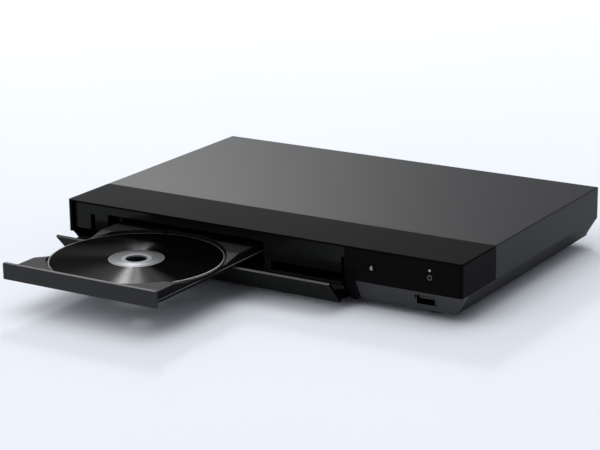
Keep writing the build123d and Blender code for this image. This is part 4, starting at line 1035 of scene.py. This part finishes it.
# printed ink: matt, and grey enough to read on black. The power sign's ink is thinner
give(moulded("printed_grey_ink", "#969899", 0.5, grain=0.4, relief=0.003), "eject_mark")
give(moulded("faint_grey_ink", "#545658", 0.5, grain=0.4, relief=0.003), "power_mark")
print("marks at", [round(v / MM, 1) for v in power_face], [round(v / MM, 1) for v in eject_face])

# %% [markdown]
# ## The USB socket
# The shell is folded from thin nickel-plated steel. Inside it, in the upper half of the mouth, a
# black tongue carries four gilded springs. The shell starts as a block whose front is inset by
# the sheet's thickness and pushed in, which leaves a box with one open side.

# %% Model the USB socket
SHEET = 0.5 * MM
BACK_WALL = 1.5 * MM
USB_CORNER = 0.6 * MM
USB_LIP = 0.12 * MM
USB_TONGUE_HALF = 5.6 * MM
USB_TONGUE_LOW = 0.5 * MM
USB_TONGUE_HIGH = 2.3 * MM
USB_FRONT_IN = 1.2 * MM
USB_BACK_IN = 1.0 * MM
USB_TONGUE_ROUND = 0.25 * MM
USB_SPRING_LOW = 0.35 * MM
USB_SPRING_HIGH = 0.55 * MM
USB_SPRING_LEFT = -4.0 * MM
USB_SPRING_WIDTH = 1.0 * MM
USB_SPRING_IN = 2.0 * MM
USB_SPRING_ROUND = 0.12 * MM
USB_SPRING_STEPS = (2.5 * MM, 4.5 * MM, 7.0 * MM)

usb_low, usb_high, usb_middle = corners("usb_socket")
usb_size = usb_high - usb_low
usb_shell = block("usb_shell", usb_low, usb_high)
edit(usb_shell)
bevel_edges(usb_shell, USB_CORNER, 3, lambda a, b: abs(a.y - b.y) > usb_size.y / 2)
pick_faces(usb_shell, lambda middle, normal: normal.y < -0.99)
bpy.ops.mesh.inset(thickness=SHEET)
extrude(y=usb_size.y - BACK_WALL)
pick_faces(usb_shell, lambda middle, normal: normal.y < -0.99 and middle.y < usb_low.y + SHEET)
bpy.ops.mesh.bevel(offset=USB_LIP, segments=2)
leave_edit()

tongue = block(
    "usb_tongue",
    (usb_middle.x - USB_TONGUE_HALF, usb_low.y + USB_FRONT_IN, usb_middle.z + USB_TONGUE_LOW),
    (usb_middle.x + USB_TONGUE_HALF, usb_high.y - USB_BACK_IN, usb_middle.z + USB_TONGUE_HIGH),
)
edit(tongue)
bevel_edges(tongue, USB_TONGUE_ROUND, 2, lambda a, b: max(a.y, b.y) < usb_middle.y)
leave_edit()

spring_left = usb_middle.x + USB_SPRING_LEFT
spring = block(
    "usb_spring",
    (spring_left, usb_low.y + USB_SPRING_IN, usb_middle.z + USB_SPRING_LOW),
    (spring_left + USB_SPRING_WIDTH, usb_high.y - USB_SPRING_IN, usb_middle.z + USB_SPRING_HIGH),
)
edit(spring)
spring_under = usb_middle.z + (USB_SPRING_LOW + USB_SPRING_HIGH) / 2
bevel_edges(spring, USB_SPRING_ROUND, 2, lambda a, b: max(a.z, b.z) < spring_under)
leave_edit()
usb_springs = join_row("usb_springs", [spring] + copies(spring, USB_SPRING_STEPS))
# plated steel, darkened to a dim grey rim: a painted shade for the window's shade that it stands in
usb_nickel_painted_shade = bare_metal("nickel_usb_shell_painted_shade", "#4c4b4a", 0.3, 0.5, LENGTHWISE)
# black nylon: no more than a dull shape behind the rim
contact_black = moulded("black_contact_carrier", "#0b0b0b", 0.45)
# gold over nickel: a warm glint
gilding = bare_metal("gilded_springs", "#c9a046", 0.25, 0.4, LENGTHWISE)
for piece, finish in ((usb_shell, usb_nickel_painted_shade), (tongue, contact_black), (usb_springs, gilding)):
    give(finish, piece.name)
    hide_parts("usb_socket")
    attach(piece, "cabinet")
print("usb socket:", [round(v / MM, 1) for v in usb_size])

# %% [markdown]
# ## The two video sockets
# Each video socket at the back is a folded steel shell whose lower corners are cut off at an
# angle, so that the plug fits in one way only. In it a black tongue carries ten gilded strips on
# one side and nine on the other. The shell starts as a block. Its lower edges get a flat bevel,
# and its open end is inset and pushed in, as for the USB socket.

# %% Model the video sockets
STRIP_COUNT = 10
STRIP_PITCH = 1.0 * MM
STRIP_WIDTH = 0.45 * MM
STRIP_PROUD = 0.08 * MM
STRIP_SUNK = 0.05 * MM
STRIP_ROUND = 0.05 * MM
STRIP_BACK_IN = 2 * MM
STRIP_MOUTH_IN = 2.2 * MM
TONGUE_HALF = 5.6 * MM
TONGUE_LOW = -0.1 * MM
TONGUE_HIGH = 0.9 * MM
TONGUE_ROUND = 0.2 * MM
TONGUE_BACK_IN = 1.0 * MM
TONGUE_MOUTH_IN = 1.5 * MM
CUT_CORNER = 1.7 * MM
ROUND_CORNER = 0.5 * MM
LONG_EDGE = 5 * MM


def video_socket(number):
    """Shell, tongue and gilded strips of one video socket, at its solid's place."""
    node = f"hdmi_socket_{number}"
    low, high, middle = corners(node)
    shell = block(f"video_shell_{number}", low, high)
    edit(shell)
    bevel_edges(
        shell, CUT_CORNER, 1, lambda a, b: abs(a.y - b.y) > LONG_EDGE and max(a.z, b.z) < middle.z
    )
    bevel_edges(
        shell, ROUND_CORNER, 3, lambda a, b: abs(a.y - b.y) > LONG_EDGE and a.z > high.z - HAIR
    )
    pick_faces(shell, lambda place, normal: normal.y > 0.99)
    bpy.ops.mesh.inset(thickness=SHEET)
    extrude(y=low.y - high.y + BACK_WALL)
    leave_edit()
    tongue_low = middle.z + TONGUE_LOW
    tongue_high = middle.z + TONGUE_HIGH
    carrier = block(
        f"video_tongue_{number}",
        (middle.x - TONGUE_HALF, low.y + TONGUE_BACK_IN, tongue_low),
        (middle.x + TONGUE_HALF, high.y - TONGUE_MOUTH_IN, tongue_high),
    )
    edit(carrier)
    bevel_edges(carrier, TONGUE_ROUND, 2, lambda a, b: min(a.y, b.y) > middle.y)
    leave_edit()
    first_x = middle.x - (STRIP_COUNT - 1) / 2 * STRIP_PITCH
    strip = block(
        "video_strip",
        (first_x - STRIP_WIDTH / 2, low.y + STRIP_BACK_IN, tongue_low - STRIP_PROUD),
        (first_x + STRIP_WIDTH / 2, high.y - STRIP_MOUTH_IN, tongue_low + STRIP_SUNK),
    )
    edit(strip)
    bevel_edges(
        strip, STRIP_ROUND, 2,
        lambda a, b: max(a.z, b.z) < tongue_low and abs(a.y - b.y) > LONG_EDGE,
    )
    leave_edit()
    below = copies(strip, [place * STRIP_PITCH for place in range(1, STRIP_COUNT)])
    up = tongue_high - tongue_low + STRIP_PROUD - STRIP_SUNK
    above = copies(strip, [(place + 0.5) * STRIP_PITCH for place in range(STRIP_COUNT - 1)], up)
    strips = join_row(f"video_strips_{number}", [strip] + below + above)
    for piece, finish in ((shell, shell_nickel), (carrier, contact_black), (strips, gilding)):
        give(finish, piece.name)
        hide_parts(node)
        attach(piece, "cabinet")
        print(piece.name, len(piece.data.polygons), "faces")


# the same plating in full light: bright and a little warm
shell_nickel = bare_metal("nickel_plated_socket_shell", "#b9b8b4", 0.27, 0.5, LENGTHWISE)
for number in (1, 2):
    video_socket(number)

# %% [markdown]
# ## The network socket's springs
# The network socket's solid has the right mouth, with the notch for the plug's latch. What it
# lacks are the eight wire springs that lean up from its floor. One is modelled as a thin block
# whose inner end is pushed up, and copied seven times.

# %% Model the network socket's springs
WIRE_COUNT = 8
WIRE_PITCH = 1.27 * MM
WIRE = 0.4 * MM
WIRE_RISE = 3.2 * MM
WIRE_STARTS_IN = 10 * MM
WIRE_ENDS_IN = 2.5 * MM
WIRE_ROUND = 0.12 * MM
MOUTH_FLOOR = 2.2 * MM

lan_low, lan_high, lan_middle = corners("lan_socket")
first_x = lan_middle.x - (WIRE_COUNT - 1) / 2 * WIRE_PITCH
floor_of_mouth = lan_low.z + MOUTH_FLOOR
wire = block(
    "network_wire",
    (first_x - WIRE / 2, lan_high.y - WIRE_STARTS_IN, floor_of_mouth),
    (first_x + WIRE / 2, lan_high.y - WIRE_ENDS_IN, floor_of_mouth + WIRE),
)
edit(wire)
bevel_edges(wire, WIRE_ROUND, 2, lambda a, b: abs(a.y - b.y) > LONG_EDGE)
pick_faces(wire, lambda place, normal: normal.y < -0.9)
bpy.ops.transform.translate(value=(0, 0, WIRE_RISE))
leave_edit()
row = [wire] + copies(wire, [place * WIRE_PITCH for place in range(1, WIRE_COUNT)])
network_springs = join_row("network_springs", row)
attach(network_springs, "cabinet")
give(gilding, "network_springs")
print("network springs:", len(row))

# %% [markdown]
# ## The pins of the mains inlet
# Two brass pins stand in the inlet's figure-eight mouth. They are plated, and their tips are round
# so that the socket of the lead slides on. Each is a cylinder with a bevelled end, drawn over the
# solid's own pin.

# %% Model the inlet's pins
PIN_RADIUS = 1.25 * MM
PIN_APART = 8.6 * MM
PIN_HEIGHT = 24.0 * MM
PIN_STARTS_IN = 12.2 * MM
PIN_ENDS_IN = 2.8 * MM
PIN_ROUND = 0.7 * MM

inlet_low, inlet_high, inlet_middle = corners("mains_inlet")
pin_start = inlet_high.y - PIN_STARTS_IN
pin_end = inlet_high.y - PIN_ENDS_IN
pin = cylinder(
    "inlet_pin", 32, PIN_RADIUS, pin_end - pin_start,
    (inlet_middle.x - PIN_APART / 2, (pin_start + pin_end) / 2, PIN_HEIGHT), TOWARDS_FRONT,
)
edit(pin)
bevel_edges(pin, PIN_ROUND, 4, lambda a, b: min(a.y, b.y) > pin_end - HAIR)
leave_edit()
pins = join_row("inlet_pins", [pin] + copies(pin, [PIN_APART]))
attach(pins, "cabinet")
# nickel over brass: warm silver, nearly polished
give(bare_metal("plated_brass_pin", "#c8c3b4", 0.2, 0.4, LENGTHWISE), "inlet_pins")
print("inlet pins:", round(PIN_APART / MM, 1), "mm apart")

# %% [markdown]
# ## Screws of the rear panel
# A rear screw has a low domed head with a cross cut into it. The dome is a bevel with several
# segments, and the cross comes from cutting the flat top along four pairs of lines and pushing in
# the faces between them.

# %% Model the rear screws
HEAD_RADIUS = 2.7 * MM
HEAD_HEIGHT = 1.6 * MM
HEAD_ROUND = 0.8 * MM
SHANK_RADIUS = 1.25 * MM
CROSS_HALF_WIDTH = 0.38 * MM
CROSS_REACH = 1.45 * MM
CROSS_DEPTH = 0.9 * MM
SCREW_XS = (-70 * MM, 30 * MM, 146 * MM)
SCREW_Z = 14 * MM

screws_low, screws_high, _ = corners("rear_screws")
under_head = screws_high.y - HEAD_HEIGHT + HAIR
screw = cylinder(
    "rear_screw_1", 48, HEAD_RADIUS, HEAD_HEIGHT,
    (SCREW_XS[0], screws_high.y - HEAD_HEIGHT / 2, SCREW_Z), TOWARDS_FRONT,
)
edit(screw)
bevel_edges(screw, HEAD_ROUND, 5, lambda a, b: min(a.y, b.y) > screws_high.y - HAIR)
for way, middle in (((1, 0, 0), SCREW_XS[0]), ((0, 0, 1), SCREW_Z)):
    for step in (-CROSS_REACH, -CROSS_HALF_WIDTH, CROSS_HALF_WIDTH, CROSS_REACH):
        bpy.ops.mesh.select_all(action="SELECT")
        bpy.ops.mesh.bisect(plane_co=[axis * (middle + step) for axis in way], plane_no=way)


def in_cross(place, normal):
    across = abs(place.x - SCREW_XS[0])
    up = abs(place.z - SCREW_Z)
    in_arm = min(across, up) < CROSS_HALF_WIDTH and max(across, up) < CROSS_REACH
    return normal.y > 0.99 and in_arm


pick_faces(screw, in_cross)
extrude(y=-CROSS_DEPTH)
pick_faces(screw, lambda place, normal: normal.y < -0.99 and place.y < under_head)
bpy.ops.mesh.delete(type="FACE")
pick_edges(screw, lambda a, b: max(a.y, b.y) < under_head)
bpy.ops.mesh.extrude_edges_move()
bpy.ops.transform.resize(
    value=(SHANK_RADIUS / HEAD_RADIUS, 1, SHANK_RADIUS / HEAD_RADIUS),
    center_override=(SCREW_XS[0], screws_high.y - HEAD_HEIGHT, SCREW_Z),
)
bpy.ops.mesh.extrude_edges_move(
    TRANSFORM_OT_translate={"value": (0, screws_low.y - screws_high.y + HEAD_HEIGHT, 0)}
)
bpy.ops.mesh.edge_face_add()
face_outwards()
leave_edit()
screws = [screw]
for number, x in enumerate(SCREW_XS[1:], start=2):
    screws.append(copy_to(screw, (x - SCREW_XS[0], 0, 0), f"rear_screw_{number}"))
for piece in screws:
    give(zinc, piece.name)
    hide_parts("rear_screws")
    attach(piece, "cabinet")
print("rear screws:", [piece.name for piece in screws])

# %% [markdown]
# ## Rubber feet
# A foot is a moulded rubber puck. Its sole is dished, so that it stands on a ring and not on its
# whole face, and a shallow groove runs round its side. One foot is modelled and copied three times.

# %% Model the feet
GROOVE_LOW = 3.6 * MM
GROOVE_HIGH = 4.6 * MM
GROOVE_DEPTH = 0.5 * MM
SOLE_ROUND = 1.2 * MM
SOLE_RING = 1.8 * MM
DISH_SLOPE = 0.5 * MM
DISH_DEPTH = 0.7 * MM

foot_nodes = ("foot_front_left", "foot_front_right", "foot_rear_left", "foot_rear_right")
first_low, first_high, first_middle = corners(foot_nodes[0])
sole = first_low.z
foot = cylinder(
    "rubber_foot_1", 96, (first_high.x - first_low.x) / 2, first_high.z - sole, first_middle
)
edit(foot)
for up in (GROOVE_LOW, GROOVE_HIGH):
    bpy.ops.mesh.select_all(action="SELECT")
    bpy.ops.mesh.bisect(plane_co=(0, 0, sole + up), plane_no=(0, 0, 1))
pick_faces(
    foot, lambda middle, normal: abs(normal.z) < 0.1 and GROOVE_LOW < middle.z - sole < GROOVE_HIGH
)
bpy.ops.mesh.extrude_region_shrink_fatten(TRANSFORM_OT_shrink_fatten={"value": -GROOVE_DEPTH})
bevel_edges(foot, SOLE_ROUND, 4, lambda a, b: max(a.z, b.z) < sole + HAIR)
pick_faces(foot, lambda middle, normal: normal.z < -0.99)
bpy.ops.mesh.inset(thickness=SOLE_RING)
bpy.ops.mesh.inset(thickness=DISH_SLOPE, depth=-DISH_DEPTH)
leave_edit()
feet = [foot]
for number, node in enumerate(foot_nodes[1:], start=2):
    feet.append(copy_to(foot, corners(node)[2] - first_middle, f"rubber_foot_{number}"))
# vulcanised rubber: a dull, soft black with hardly any shine
rubber = moulded("vulcanised_foot_rubber", "#191919", 0.75, grain=0.5, relief=0.04)
for piece, node in zip(feet, foot_nodes):
    give(rubber, piece.name)
    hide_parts(node)
    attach(piece, "cabinet")
give(rubber, "belt")
print("feet:", [piece.name for piece in feet])
